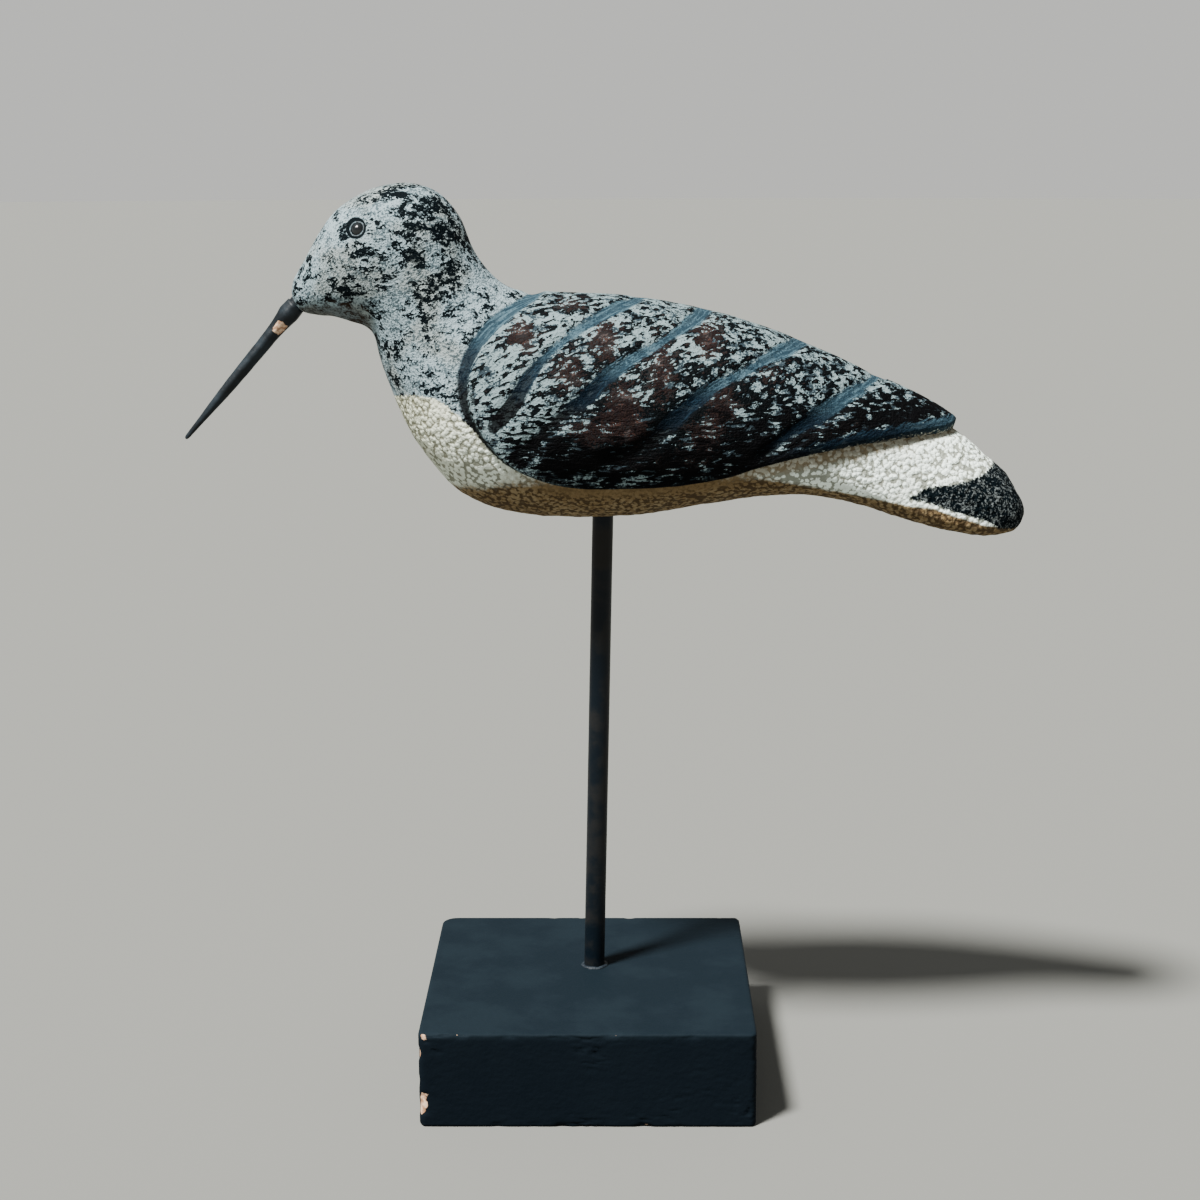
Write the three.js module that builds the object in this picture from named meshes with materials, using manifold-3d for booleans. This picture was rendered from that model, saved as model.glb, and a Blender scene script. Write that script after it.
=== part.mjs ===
// A carved shorebird decoy on its stand: a wooden bird with folded, gouged wings and a long drooping
// bill, carried by a painted steel rod that stands in a square wooden block.
// Millimetres, +Z up. The origin is the middle of the block's underside, the bird faces -X,
// and -Y is its left side. The bird is mirror-symmetric about the plane y = MID_PLANE.
import * as THREE from "three";
import { mergeVertices } from "three/addons/utils/BufferGeometryUtils.js";
import Module from "manifold-3d";

const wasm = await Module();
wasm.setup();

// Driving dimensions
const FIT_GAP = 0.3;
const MID_PLANE = 6;

const BLOCK = { side: 100, height: 29.4, cornerRadius: 2, wornCornerRadius: 5, arris: 0.9, socketDepth: 12 };
const ROD = {
  radius: 3.2, footX: 1.5, leanDegrees: 1.2, depthInBlock: 11.5, depthInBird: 17, chamfer: 0.5, sides: 20,
};
const EYE = { x: -66.9, z: 261.7, radius: 2.0, proud: 1.0, meridians: 12, parallels: 6 };
const BILL = {
  rootX: -87.3, rootZ: 238.6, droopDegrees: 49.1, sides: 12,
  tenonLength: 9, tenonRadius: 2.6, collarReach: 12,
};

// Radius of the whittled bill by its distance from the snout
const BILL_PROFILE = [
  [0, 2.9], [3.4, 3.15], [5.4, 2.8], [8.5, 2.42], [12, 2.18], [18, 2.08], [26, 1.91],
  [34, 1.66], [40, 1.35], [45, 1.02], [52.4, 0.7], [53.2, 0.35],
];

// Cross-sections of the bird from the snout to the tail tip. Each is a leaning plane given by its top and
// bottom points [x, z], with the half width, the depth of the widest level as a share of the height from
// the top, and the fullness of the crown and of the keel (2 is an ellipse, more is squarer).
const section = (top, bottom, half, widest, crown, keel) => ({ top, bottom, half, widest, crown, keel });
const SECTIONS = {
  "snout tip": section([-88.6, 242.6], [-88.4, 241.0], 0.8, 0.5, 2.0, 2.0),
  snout: section([-87.6, 246.4], [-86.0, 237.2], 5.2, 0.52, 2.1, 2.1),
  forehead: section([-84.0, 252.6], [-81.0, 235.6], 8.6, 0.55, 2.1, 2.1),
  brow: section([-80.0, 259.6], [-76.0, 235.3], 11.6, 0.55, 2.1, 2.1),
  eye: section([-73.4, 267.6], [-71.0, 234.0], 14.4, 0.52, 2.1, 2.1),
  "crown front": section([-63.4, 273.0], [-66.8, 232.6], 16.2, 0.48, 2.1, 2.1),
  crown: section([-53.5, 274.6], [-64.0, 229.8], 17.0, 0.47, 2.1, 2.1),
  "crown back": section([-44.4, 271.9], [-62.5, 223.4], 17.0, 0.48, 2.1, 2.0),
  nape: section([-38.0, 264.8], [-60.4, 216.8], 17.2, 0.52, 2.0, 2.0),
  neck: section([-34.2, 255.8], [-57.6, 209.6], 18.2, 0.56, 2.0, 2.0),
  "neck foot": section([-29.4, 248.4], [-53.2, 200.3], 21.0, 0.6, 2.0, 2.0),
  mantle: section([-22.4, 243.4], [-46.8, 191.0], 25.0, 0.6, 2.0, 2.0),
  breast: section([-12.4, 242.0], [-37.4, 181.6], 28.6, 0.56, 2.0, 2.0),
  "breast back": section([-1.0, 241.6], [-23.0, 176.3], 30.6, 0.54, 2.0, 2.0),
  belly: section([12.0, 240.6], [-4.0, 174.8], 31.2, 0.54, 2.0, 2.0),
  "belly back": section([26.0, 238.2], [16.0, 175.6], 30.4, 0.55, 2.0, 2.1),
  rump: section([41.0, 234.6], [35.0, 178.7], 28.2, 0.58, 2.0, 2.2),
  "rump back": section([56.0, 229.6], [53.0, 181.3], 25.0, 0.62, 1.9, 2.3),
  vent: section([71.0, 223.0], [69.0, 181.5], 21.8, 0.68, 1.8, 2.6),
  "tail root": section([86.0, 215.6], [85.0, 178.0], 19.2, 0.76, 1.7, 2.9),
  tail: section([100.0, 208.4], [99.0, 173.6], 17.8, 0.82, 1.7, 3.1),
  "tail middle": section([111.5, 201.0], [110.0, 170.9], 17.0, 0.83, 1.8, 3.1),
  "tail back": section([120.5, 193.2], [118.0, 169.5], 15.4, 0.8, 1.9, 2.9),
  "tail round": section([127.0, 187.6], [124.6, 169.4], 12.6, 0.72, 2.0, 2.6),
  "tail edge": section([131.2, 180.8], [129.6, 170.6], 8.4, 0.6, 2.0, 2.2),
  "tail tip": section([133.0, 177.0], [132.8, 174.6], 1.6, 0.5, 2.0, 2.0),
};

// Edge of the folded wing seen from the side, from the mantle round the shoulder to the wing tip
const WING_EDGE = [
  [-17.0, 242.3], [-25.4, 237.5], [-31.6, 231.2], [-35.9, 224.2], [-37.2, 217.1], [-36.0, 210.0],
  [-32.7, 203.7], [-28.1, 197.9], [-22.4, 193.1], [-13.6, 189.5], [-2.0, 187.3], [15.6, 187.6],
  [30.2, 188.7], [42.2, 190.9], [48.7, 193.0], [62.2, 196.1], [75.7, 198.3], [89.5, 199.8],
  [100.1, 200.8], [109.5, 201.6], [113.0, 203.6],
];

// Gouged flutes between the feather groups, from the ridge of the back down to the wing's edge
const FLUTES = {
  first: [
    [17, 240.4], [9.8, 238.6], [-0.4, 233.7], [-8.2, 228.3], [-14.2, 222.6], [-18.3, 216.7],
    [-20.9, 212.1], [-26.8, 205.4],
  ],
  second: [
    [35, 236.4], [26.8, 231.7], [19.4, 227.6], [10.9, 223.1], [4.3, 218.4], [-0.3, 213.4],
    [-8.1, 208.0], [-14.3, 202.1], [-20.5, 197.0],
  ],
  third: [
    [64, 227.0], [53.0, 223.4], [45.4, 219.9], [37.3, 216.6], [30.0, 211.4], [23.4, 205.8],
    [15.5, 199.1], [2.5, 195.4],
  ],
  fourth: [
    [88, 216.4], [76.1, 211.7], [67.6, 207.1], [58.6, 202.3], [48.6, 195.2],
  ],
};
const FLUTE = { halfWidth: 3.7, depth: 1.1, opening: 10, closing: 7, leftAtEnd: 0.25 };

// The wing stands prouder from the shoulder to the tip, and its edge turns from a soft gouge to a crisp step
const WING_SHOULDER = { stand: 0.5, rise: 4.2, valley: 0.8, steepness: 1.8 };
const WING_TIP = { stand: 2.5, rise: 2.4, valley: 0, steepness: 0.7 };
const WING_REACH = { fullAt: 105, backwardShare: 0.5 };
const VALLEY_SPREAD = 3.5;

// Triangle sizes: coarse on the plain skin, fine along the carving
const PLAIN_EDGE = 9.5;
const CARVED_EDGE = 3.7;
const EDGE_GROWTH = 0.9;
const SNAP_TO_EDGE = 1.5;
const START_RINGS = 22;
const START_SIDES = 16;

// Finenesses of the working out
const WING_EDGE_PIECES = 90;
const FLUTE_PIECES = 30;
const BISECTIONS = 40;
const MOST_HOPS = 50;
const SAME_SIZE = 1e-9;
const WELD = 1e-5;
const NORMAL_STEP = { along: 0.08, around: 0.004 };
const ROOF = 400;

const mix = (from, to, share) => from + (to - from) * share;
const clamp01 = (value) => Math.min(Math.max(value, 0), 1);
const smooth = (value) => clamp01(value) ** 2 * (3 - 2 * clamp01(value));
const edgeKey = (a, b) => (a < b ? `${a},${b}` : `${b},${a}`);

// Smooth interpolation through values at unevenly spaced keys
function throughKeys(keys, rows, at) {
  const last = keys.length - 1;
  let cell = 0;
  while (cell < last - 1 && keys[cell + 1] <= at) cell += 1;
  const slope = (i, c) => {
    const before = Math.max(i - 1, 0);
    const after = Math.min(i + 1, last);
    return (rows[after][c] - rows[before][c]) / (keys[after] - keys[before]);
  };
  const span = keys[cell + 1] - keys[cell];
  const u = (at - keys[cell]) / span;
  const [a, b] = [rows[cell], rows[cell + 1]];
  return a.map((value, c) =>
    (2 * u ** 3 - 3 * u ** 2 + 1) * value + (u ** 3 - 2 * u ** 2 + u) * span * slope(cell, c)
    + (3 * u ** 2 - 2 * u ** 3) * b[c] + (u ** 3 - u ** 2) * span * slope(cell + 1, c));
}

// The plain skin of the bird, before its carving
class Skin {
  constructor(sections) {
    this.rows = sections.map((s) => [...s.top, ...s.bottom, s.half, s.widest, s.crown, s.keel]);
    this.keys = [0];
    for (let i = 1; i < this.rows.length; i += 1) {
      const [a, b] = [this.rows[i - 1], this.rows[i]];
      const step = (Math.hypot(b[0] - a[0], b[1] - a[1]) + Math.hypot(b[2] - a[2], b[3] - a[3])) / 2;
      this.keys.push(this.keys[i - 1] + step);
    }
    this.length = this.keys.at(-1);
  }

  section(along) {
    const row = throughKeys(this.keys, this.rows, along);
    const [topX, topZ, bottomX, bottomZ, half, widest, crown, keel] = row;
    const height = Math.hypot(topX - bottomX, topZ - bottomZ);
    const up = [(topX - bottomX) / height, (topZ - bottomZ) / height];
    const centre = [mix(topX, bottomX, widest), mix(topZ, bottomZ, widest)];
    return { up, centre, half, crown, keel, above: height * widest, below: height * (1 - widest) };
  }

  // around runs from the ridge (0) down the left side (quarter turn) to the keel (half turn) and back
  point(along, around) {
    const s = this.section(along);
    const [sine, cosine] = [Math.sin(around * 2 * Math.PI), Math.cos(around * 2 * Math.PI)];
    const [reach, fullness] = cosine >= 0 ? [s.above, s.crown] : [s.below, s.keel];
    const out = s.half * Math.sign(sine) * Math.abs(sine) ** (2 / fullness);
    const rise = reach * Math.sign(cosine) * Math.abs(cosine) ** (2 / fullness);
    return new THREE.Vector3(s.centre[0] + s.up[0] * rise, MID_PLANE - out, s.centre[1] + s.up[1] * rise);
  }

  normal(along, around) {
    const ahead = this.point(Math.min(along + NORMAL_STEP.along, this.length), around);
    const behind = this.point(Math.max(along - NORMAL_STEP.along, 0), around);
    const lengthwise = ahead.sub(behind);
    const below = this.point(along, around + NORMAL_STEP.around);
    const crosswise = below.sub(this.point(along, around - NORMAL_STEP.around));
    return crosswise.cross(lengthwise).normalize();
  }

  // Where on the left side the skin is seen at (x, z) from the side
  seen(x, z) {
    const turn = (along) => {
      const s = this.section(along);
      return s.up[0] * (z - s.centre[1]) - s.up[1] * (x - s.centre[0]);
    };
    let [low, high] = [0, this.length];
    for (let i = 0; i < BISECTIONS; i += 1) {
      const middle = (low + high) / 2;
      if (turn(middle) < 0) low = middle;
      else high = middle;
    }
    const s = this.section(low);
    const rise = (x - s.centre[0]) * s.up[0] + (z - s.centre[1]) * s.up[1];
    const [reach, fullness] = rise >= 0 ? [s.above, s.crown] : [s.below, s.keel];
    const share = Math.min(Math.abs(rise) / reach, 1) ** (fullness / 2);
    return { along: low, around: Math.acos(Math.sign(rise) * share) / (2 * Math.PI) };
  }

  fromSide(x, z) {
    const { along, around } = this.seen(x, z);
    return this.point(along, around);
  }

  // A smooth line drawn on the left side through points seen from the side
  lineOn(sidePoints, count) {
    const flat = new THREE.CatmullRomCurve3(sidePoints.map(([x, z]) => new THREE.Vector3(x, 0, z)));
    return flat.getSpacedPoints(count).map((p) => this.fromSide(p.x, p.z));
  }
}

// Distance from a point to a line of points, and how far along that line the nearest place is
function nearestOn(line, point) {
  const best = { distance: Infinity, travelled: 0, length: 0, place: new THREE.Vector3() };
  const [a, b, nearest] = [new THREE.Vector3(), new THREE.Vector3(), new THREE.Vector3()];
  for (let i = 1; i < line.length; i += 1) {
    a.subVectors(line[i], line[i - 1]);
    b.subVectors(point, line[i - 1]);
    const size = a.length();
    const share = clamp01(a.dot(b) / (size * size));
    nearest.copy(line[i - 1]).addScaledVector(a, share);
    const distance = nearest.distanceTo(point);
    if (distance < best.distance) {
      best.distance = distance;
      best.travelled = best.length + share * size;
      best.place.copy(nearest);
    }
    best.length += size;
  }
  return best;
}

const skin = new Skin(Object.values(SECTIONS));
const wingEdge = skin.lineOn(WING_EDGE, WING_EDGE_PIECES);
const fluteLines = Object.values(FLUTES).map((line) => skin.lineOn(line, FLUTE_PIECES));

// A point's mirror image on the left side, or the point itself where it lies there
const onLeft = (point) => new THREE.Vector3(point.x, MID_PLANE - Math.abs(point.y - MID_PLANE), point.z);

// Whether a place seen from the side lies above the wing's edge line
function insideWing(x, z) {
  const corners = [...wingEdge.map((p) => [p.x, p.z]), [wingEdge.at(-1).x, ROOF], [wingEdge[0].x, ROOF]];
  let inside = false;
  for (let i = 0, j = corners.length - 1; i < corners.length; j = i, i += 1) {
    const [[ax, az], [bx, bz]] = [corners[i], corners[j]];
    if ((az > z) !== (bz > z) && x < ((bx - ax) * (z - az)) / (bz - az) + ax) inside = !inside;
  }
  return inside;
}

// Height of the carving over the plain skin, and the distance to the nearest carved line
function carving(point) {
  const place = onLeft(point);
  const [startX, startZ] = WING_EDGE[0];
  const gone = (place.x - startX) * WING_REACH.backwardShare + startZ - place.z;
  const reach = clamp01(gone / WING_REACH.fullAt);
  const trait = (name) => mix(WING_SHOULDER[name], WING_TIP[name], reach);
  const edge = nearestOn(wingEdge, place);
  const inside = insideWing(place.x, place.z);
  let height = 0;
  if (inside) {
    const climbed = clamp01(edge.distance / trait("rise")) ** trait("steepness");
    height = mix(-trait("valley"), trait("stand"), climbed);
  } else if (edge.distance < VALLEY_SPREAD) {
    height = -trait("valley") * smooth(1 - edge.distance / VALLEY_SPREAD);
  }
  let nearest = edge.distance;
  for (const line of fluteLines) {
    const flute = nearestOn(line, place);
    nearest = Math.min(nearest, flute.distance);
    const hollow = 1 - (flute.distance / FLUTE.halfWidth) ** 2;
    if (!inside || hollow <= 0) continue;
    const opening = smooth(flute.travelled / FLUTE.opening);
    const closing = clamp01((flute.length - flute.travelled) / FLUTE.closing + FLUTE.leftAtEnd);
    height -= FLUTE.depth * hollow * opening * closing * clamp01(edge.distance / FLUTE.halfWidth);
  }
  return { height, nearest };
}

// A sheet of triangles over (along, around) that halves its longest edges until each is as short as
// wanted there. Both ends of the sheet are single points.
class Sheet {
  constructor(place, wantedEdge) {
    this.place = place;
    this.wantedEdge = wantedEdge;
    this.vertices = [];
    this.triangles = [];
  }

  add(along, around) {
    this.vertices.push({ along, around, point: this.place(along, around ?? 0) });
    return this.vertices.length - 1;
  }

  start(length, rings, sides) {
    const first = this.add(0, null);
    const ring = (i, j) => 1 + (i - 1) * sides + (j % sides);
    for (let i = 1; i < rings; i += 1) {
      for (let j = 0; j < sides; j += 1) this.add((length * i) / rings, j / sides);
    }
    const last = this.add(length, null);
    for (let j = 0; j < sides; j += 1) {
      this.triangles.push([first, ring(1, j + 1), ring(1, j)]);
      this.triangles.push([last, ring(rings - 1, j), ring(rings - 1, j + 1)]);
      for (let i = 1; i < rings - 1; i += 1) {
        this.triangles.push([ring(i, j), ring(i, j + 1), ring(i + 1, j + 1)]);
        this.triangles.push([ring(i, j), ring(i + 1, j + 1), ring(i + 1, j)]);
      }
    }
  }

  middle(a, b) {
    const [p, q] = [this.vertices[a], this.vertices[b]];
    let [from, to] = [p.around ?? q.around, q.around ?? p.around];
    if (from - to > 0.5) to += 1;
    if (to - from > 0.5) from += 1;
    return this.add((p.along + q.along) / 2, ((from + to) / 2) % 1);
  }

  edgeLength(a, b) {
    return this.vertices[a].point.distanceTo(this.vertices[b].point);
  }

  longestEdge(triangle) {
    const edges = [[0, 1], [1, 2], [2, 0]].map(([i, j]) => [triangle[i], triangle[j]]);
    const sized = edges.map(([a, b]) => ({ key: edgeKey(a, b), a, b, size: this.edgeLength(a, b) }));
    return sized.reduce((best, edge) => (edge.size > best.size ? edge : best));
  }

  refineOnce() {
    const longest = this.triangles.map((triangle) => this.longestEdge(triangle));
    const owners = new Map();
    this.triangles.forEach((triangle, t) => {
      for (let i = 0; i < 3; i += 1) {
        const [a, b] = [triangle[i], triangle[(i + 1) % 3]];
        const key = edgeKey(a, b);
        owners.set(key, [...(owners.get(key) ?? []), t]);
      }
    });
    const halved = new Map();
    const busy = new Set();
    longest.forEach((edge, t) => {
      if (edge.size <= this.wantedEdge(this.triangles[t].map((i) => this.vertices[i]))) return;
      let target = edge;
      for (let hop = 0; hop < MOST_HOPS; hop += 1) {
        const neighbours = owners.get(target.key).map((o) => longest[o]);
        const longer = neighbours.find((other) => other.size > target.size + SAME_SIZE);
        if (!longer) break;
        target = longer;
      }
      const pair = owners.get(target.key);
      if (halved.has(target.key) || pair.some((o) => busy.has(o))) return;
      pair.forEach((o) => busy.add(o));
      halved.set(target.key, this.middle(target.a, target.b));
    });
    this.triangles = this.triangles.flatMap((triangle) => {
      for (let i = 0; i < 3; i += 1) {
        const [a, b, c] = [triangle[i], triangle[(i + 1) % 3], triangle[(i + 2) % 3]];
        const key = edgeKey(a, b);
        if (halved.has(key)) return [[a, halved.get(key), c], [halved.get(key), b, c]];
      }
      return [triangle];
    });
    return halved.size > 0;
  }

  // Moves the vertices that lie close to a line of the left side, or to its mirror image, onto it
  snapTo(line, closeness) {
    for (const vertex of this.vertices) {
      const left = vertex.point.y < MID_PLANE;
      const { distance, place } = nearestOn(line, onLeft(vertex.point));
      if (distance > closeness || vertex.around === null) continue;
      const { along, around } = skin.seen(place.x, place.z);
      vertex.along = along;
      vertex.around = left ? around : 1 - around;
      vertex.point = this.place(along, vertex.around);
    }
  }

  geometry() {
    const geometry = new THREE.BufferGeometry();
    const positions = this.vertices.flatMap(({ point }) => point.toArray());
    geometry.setAttribute("position", new THREE.Float32BufferAttribute(positions, 3));
    geometry.setIndex(this.triangles.flat());
    return geometry;
  }
}

// The carved skin as one closed sheet
function birdSkin() {
  const place = (along, around) => {
    const point = skin.point(along, around);
    return point.addScaledVector(skin.normal(along, around), carving(point).height);
  };
  const wanted = (corners) => {
    const nearest = Math.min(...corners.map(({ point }) => carving(point).nearest));
    return Math.min(PLAIN_EDGE, CARVED_EDGE + Math.max(nearest - FLUTE.halfWidth, 0) * EDGE_GROWTH);
  };
  const sheet = new Sheet(place, wanted);
  sheet.start(skin.length, START_RINGS, START_SIDES);
  while (sheet.refineOnce());
  sheet.snapTo(wingEdge, SNAP_TO_EDGE);
  return sheet.geometry();
}

// A closed geometry as a solid for cutting, and back
function solidOf(geometry) {
  const bare = geometry.clone();
  bare.deleteAttribute("normal");
  bare.deleteAttribute("uv");
  const merged = mergeVertices(bare, WELD);
  const corners = [...merged.index.array];
  const whole = corners.flatMap((_, i) => {
    if (i % 3 !== 0) return [];
    const [a, b, c] = corners.slice(i, i + 3);
    return a === b || b === c || c === a ? [] : [a, b, c];
  });
  return new wasm.Manifold(new wasm.Mesh({
    numProp: 3,
    vertProperties: new Float32Array(merged.attributes.position.array),
    triVerts: new Uint32Array(whole),
  }));
}

function geometryOf(solid) {
  const mesh = solid.getMesh();
  const geometry = new THREE.BufferGeometry();
  geometry.setAttribute("position", new THREE.BufferAttribute(new Float32Array(mesh.vertProperties), 3));
  geometry.setIndex(new THREE.BufferAttribute(new Uint32Array(mesh.triVerts), 1));
  geometry.computeVertexNormals();
  return geometry;
}

// A turned pin along +Z from a profile of [distance, radius], closed on its axis at both ends
function turnedPin(profile, sides) {
  const points = profile.map(([distance, radius]) => new THREE.Vector2(radius, distance));
  const closed = [new THREE.Vector2(0, profile[0][0]), ...points, new THREE.Vector2(0, profile.at(-1)[0])];
  return new THREE.LatheGeometry(closed, sides).rotateX(Math.PI / 2);
}

const rodTilt = THREE.MathUtils.degToRad(ROD.leanDegrees);
const rodTop = (SECTIONS.belly.bottom[1] - BLOCK.height) / Math.cos(rodTilt) + ROD.depthInBird;
const rodLean = new THREE.Matrix4()
  .makeTranslation(ROD.footX, MID_PLANE, BLOCK.height)
  .multiply(new THREE.Matrix4().makeRotationY(rodTilt));

const billLean = new THREE.Matrix4()
  .makeTranslation(BILL.rootX, MID_PLANE, BILL.rootZ)
  .multiply(new THREE.Matrix4().makeRotationY(-Math.PI / 2 - THREE.MathUtils.degToRad(BILL.droopDegrees)));

function rodGeometry() {
  const profile = [
    [-ROD.depthInBlock, ROD.radius - ROD.chamfer],
    [-ROD.depthInBlock + ROD.chamfer, ROD.radius],
    [rodTop - ROD.chamfer, ROD.radius],
    [rodTop, ROD.radius - ROD.chamfer],
  ];
  return turnedPin(profile, ROD.sides);
}

// The room that the rod's end needs, from one distance above the block's top to another
function rodRoom(from, to) {
  const profile = [[from, ROD.radius + FIT_GAP], [to, ROD.radius + FIT_GAP]];
  return turnedPin(profile, ROD.sides).applyMatrix4(rodLean);
}

// The whittled bill with its tenon
function billGeometry() {
  const tenon = [[-BILL.tenonLength, BILL.tenonRadius], [0, BILL.tenonRadius]];
  return turnedPin([...tenon, ...BILL_PROFILE], BILL.sides);
}

// The room that the tenon and the sunken collar need in the head
function billRoom() {
  const tenonRadius = BILL.tenonRadius + FIT_GAP;
  const collar = BILL_PROFILE.filter(([distance]) => distance <= BILL.collarReach);
  const outside = collar.map(([distance, radius]) => [distance, radius + FIT_GAP]);
  return turnedPin([[-BILL.tenonLength - FIT_GAP, tenonRadius], [0, tenonRadius], ...outside], BILL.sides)
    .applyMatrix4(billLean);
}

// Centre of the bead in the bird's left (-1) or right (1) eye
function eyeCentre(side) {
  const { along, around } = skin.seen(EYE.x, EYE.z);
  const outward = skin.normal(along, around);
  const centre = skin.point(along, around).addScaledVector(outward, EYE.proud - EYE.radius);
  return new THREE.Vector3(centre.x, MID_PLANE + side * (MID_PLANE - centre.y), centre.z);
}

function bead(radius) {
  return new THREE.SphereGeometry(radius, EYE.meridians, EYE.parallels);
}

function birdGeometry() {
  let solid = solidOf(birdSkin());
  solid = solid.subtract(solidOf(rodRoom(BLOCK.height, rodTop + FIT_GAP)));
  solid = solid.subtract(solidOf(billRoom()));
  for (const side of [-1, 1]) {
    const room = bead(EYE.radius + FIT_GAP).translate(...eyeCentre(side).toArray());
    solid = solid.subtract(solidOf(room));
  }
  return geometryOf(solid);
}

// A square outline with its own radius at each corner, inset for the bevel that grows it again
function blockOutline() {
  const half = BLOCK.side / 2 - BLOCK.arris;
  const [r, worn] = [BLOCK.cornerRadius, BLOCK.wornCornerRadius];
  const shape = new THREE.Shape();
  shape.absarc(half - r, -half + r, r, -Math.PI / 2, 0);
  shape.absarc(half - r, half - r, r, 0, Math.PI / 2);
  shape.absarc(-half + worn, half - worn, worn, Math.PI / 2, Math.PI);
  shape.absarc(-half + r, -half + r, r, Math.PI, 1.5 * Math.PI);
  return shape;
}

function blockGeometry() {
  const bevels = { bevelThickness: BLOCK.arris, bevelSize: BLOCK.arris, bevelSegments: 2, curveSegments: 4 };
  const depth = BLOCK.height - 2 * BLOCK.arris;
  const geometry = new THREE.ExtrudeGeometry(blockOutline(), { depth, ...bevels });
  geometry.translate(0, 0, BLOCK.arris);
  const socket = rodRoom(-BLOCK.socketDepth, BLOCK.height);
  return geometryOf(solidOf(geometry).subtract(solidOf(socket)));
}

const PAINTS = {
  bird: { color: 0x76818a, roughness: 0.75, metalness: 0 },
  bill: { color: 0x23282d, roughness: 0.5, metalness: 0 },
  eye: { color: 0x08090b, roughness: 0.08, metalness: 0 },
  rod: { color: 0x20262b, roughness: 0.5, metalness: 0.6 },
  base: { color: 0x1d2429, roughness: 0.7, metalness: 0 },
};

function piece(name, geometry, paint) {
  const mesh = new THREE.Mesh(geometry, new THREE.MeshStandardMaterial(paint));
  mesh.name = name;
  return mesh;
}

const group = new THREE.Group();
group.add(piece("base", blockGeometry(), PAINTS.base));

const rod = piece("rod", rodGeometry(), PAINTS.rod);
rod.applyMatrix4(rodLean);
group.add(rod);

group.add(piece("bird", birdGeometry(), PAINTS.bird));

const bill = piece("bill", billGeometry(), PAINTS.bill);
bill.applyMatrix4(billLean);
group.add(bill);

for (const [name, side] of [["eye_left", -1], ["eye_right", 1]]) {
  const eye = piece(name, bead(EYE.radius), PAINTS.eye);
  eye.position.copy(eyeCentre(side));
  group.add(eye);
}

export default group;
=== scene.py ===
"""Looks of a carved shorebird decoy on its stand: painted bird, whittled bill, bead eyes, rod and block.

Sizes are in millimetres until a mesh is written, and the bird is carved from the same named
cross-sections, wing edge and flutes as the solid model.
"""

import logging
import math
from dataclasses import dataclass
from enum import Enum

import bpy
import numpy as np
from mathutils import Matrix, Vector, noise

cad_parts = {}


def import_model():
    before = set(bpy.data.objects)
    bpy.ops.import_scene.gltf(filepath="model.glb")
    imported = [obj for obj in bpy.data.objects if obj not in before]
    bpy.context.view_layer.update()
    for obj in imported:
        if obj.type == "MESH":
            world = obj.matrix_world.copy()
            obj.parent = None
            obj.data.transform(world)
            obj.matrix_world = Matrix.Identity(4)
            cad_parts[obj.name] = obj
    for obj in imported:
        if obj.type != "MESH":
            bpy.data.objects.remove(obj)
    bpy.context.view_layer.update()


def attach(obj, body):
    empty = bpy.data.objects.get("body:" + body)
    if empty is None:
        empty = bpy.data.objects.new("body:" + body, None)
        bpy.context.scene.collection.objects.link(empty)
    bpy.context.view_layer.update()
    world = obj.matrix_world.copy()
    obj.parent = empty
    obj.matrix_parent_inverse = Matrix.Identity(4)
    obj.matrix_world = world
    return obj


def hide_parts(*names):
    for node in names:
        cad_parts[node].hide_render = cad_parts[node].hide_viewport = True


LOG = logging.getLogger("decoy")
METRES = 0.001
MID_PLANE = 6.0
BODY = "root"


class Side(Enum):
    """The bird's two sides, with the direction of each along Y."""

    LEFT = -1
    RIGHT = 1


class Slot(Enum):
    """The record's material slots."""

    BIRD = "painted_bird"
    BILL = "black_bill"
    EYE = "eye_bead"
    ROD = "black_rod"
    BLOCK = "black_block"


Colour = tuple[float, float, float, float]


def paint_colour(red: float, green: float, blue: float) -> Colour:
    """Turn a colour read off the real paint into a shader colour.

    Args:
        red: Red from 0 to 255.
        green: Green from 0 to 255.
        blue: Blue from 0 to 255.

    Returns:
        The colour as linear red, green, blue and an alpha of 1.
    """
    linear = [((c / 255 + 0.055) / 1.055) ** 2.4 if c > 10 else c / 255 / 12.92 for c in (red, green, blue)]
    return (linear[0], linear[1], linear[2], 1.0)


def smooth_step(value: np.ndarray, low: float, high: float) -> np.ndarray:
    """Ease from 0 to 1 as a value goes from low to high.

    Args:
        value: The values.
        low: Where the result is 0.
        high: Where the result is 1.

    Returns:
        The eased shares.
    """
    share = np.clip((value - low) / (high - low), 0.0, 1.0)
    return share * share * (3.0 - 2.0 * share)


# The plain skin


@dataclass(frozen=True)
class Section:
    """A leaning cross-section of the plain bird.

    The top and bottom points are seen from the side, widest is the depth of the widest level as a
    share of the height, and crown and keel say how full each half is (2 is an ellipse).
    """

    top: tuple[float, float]
    bottom: tuple[float, float]
    half: float
    widest: float
    crown: float
    keel: float


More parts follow.
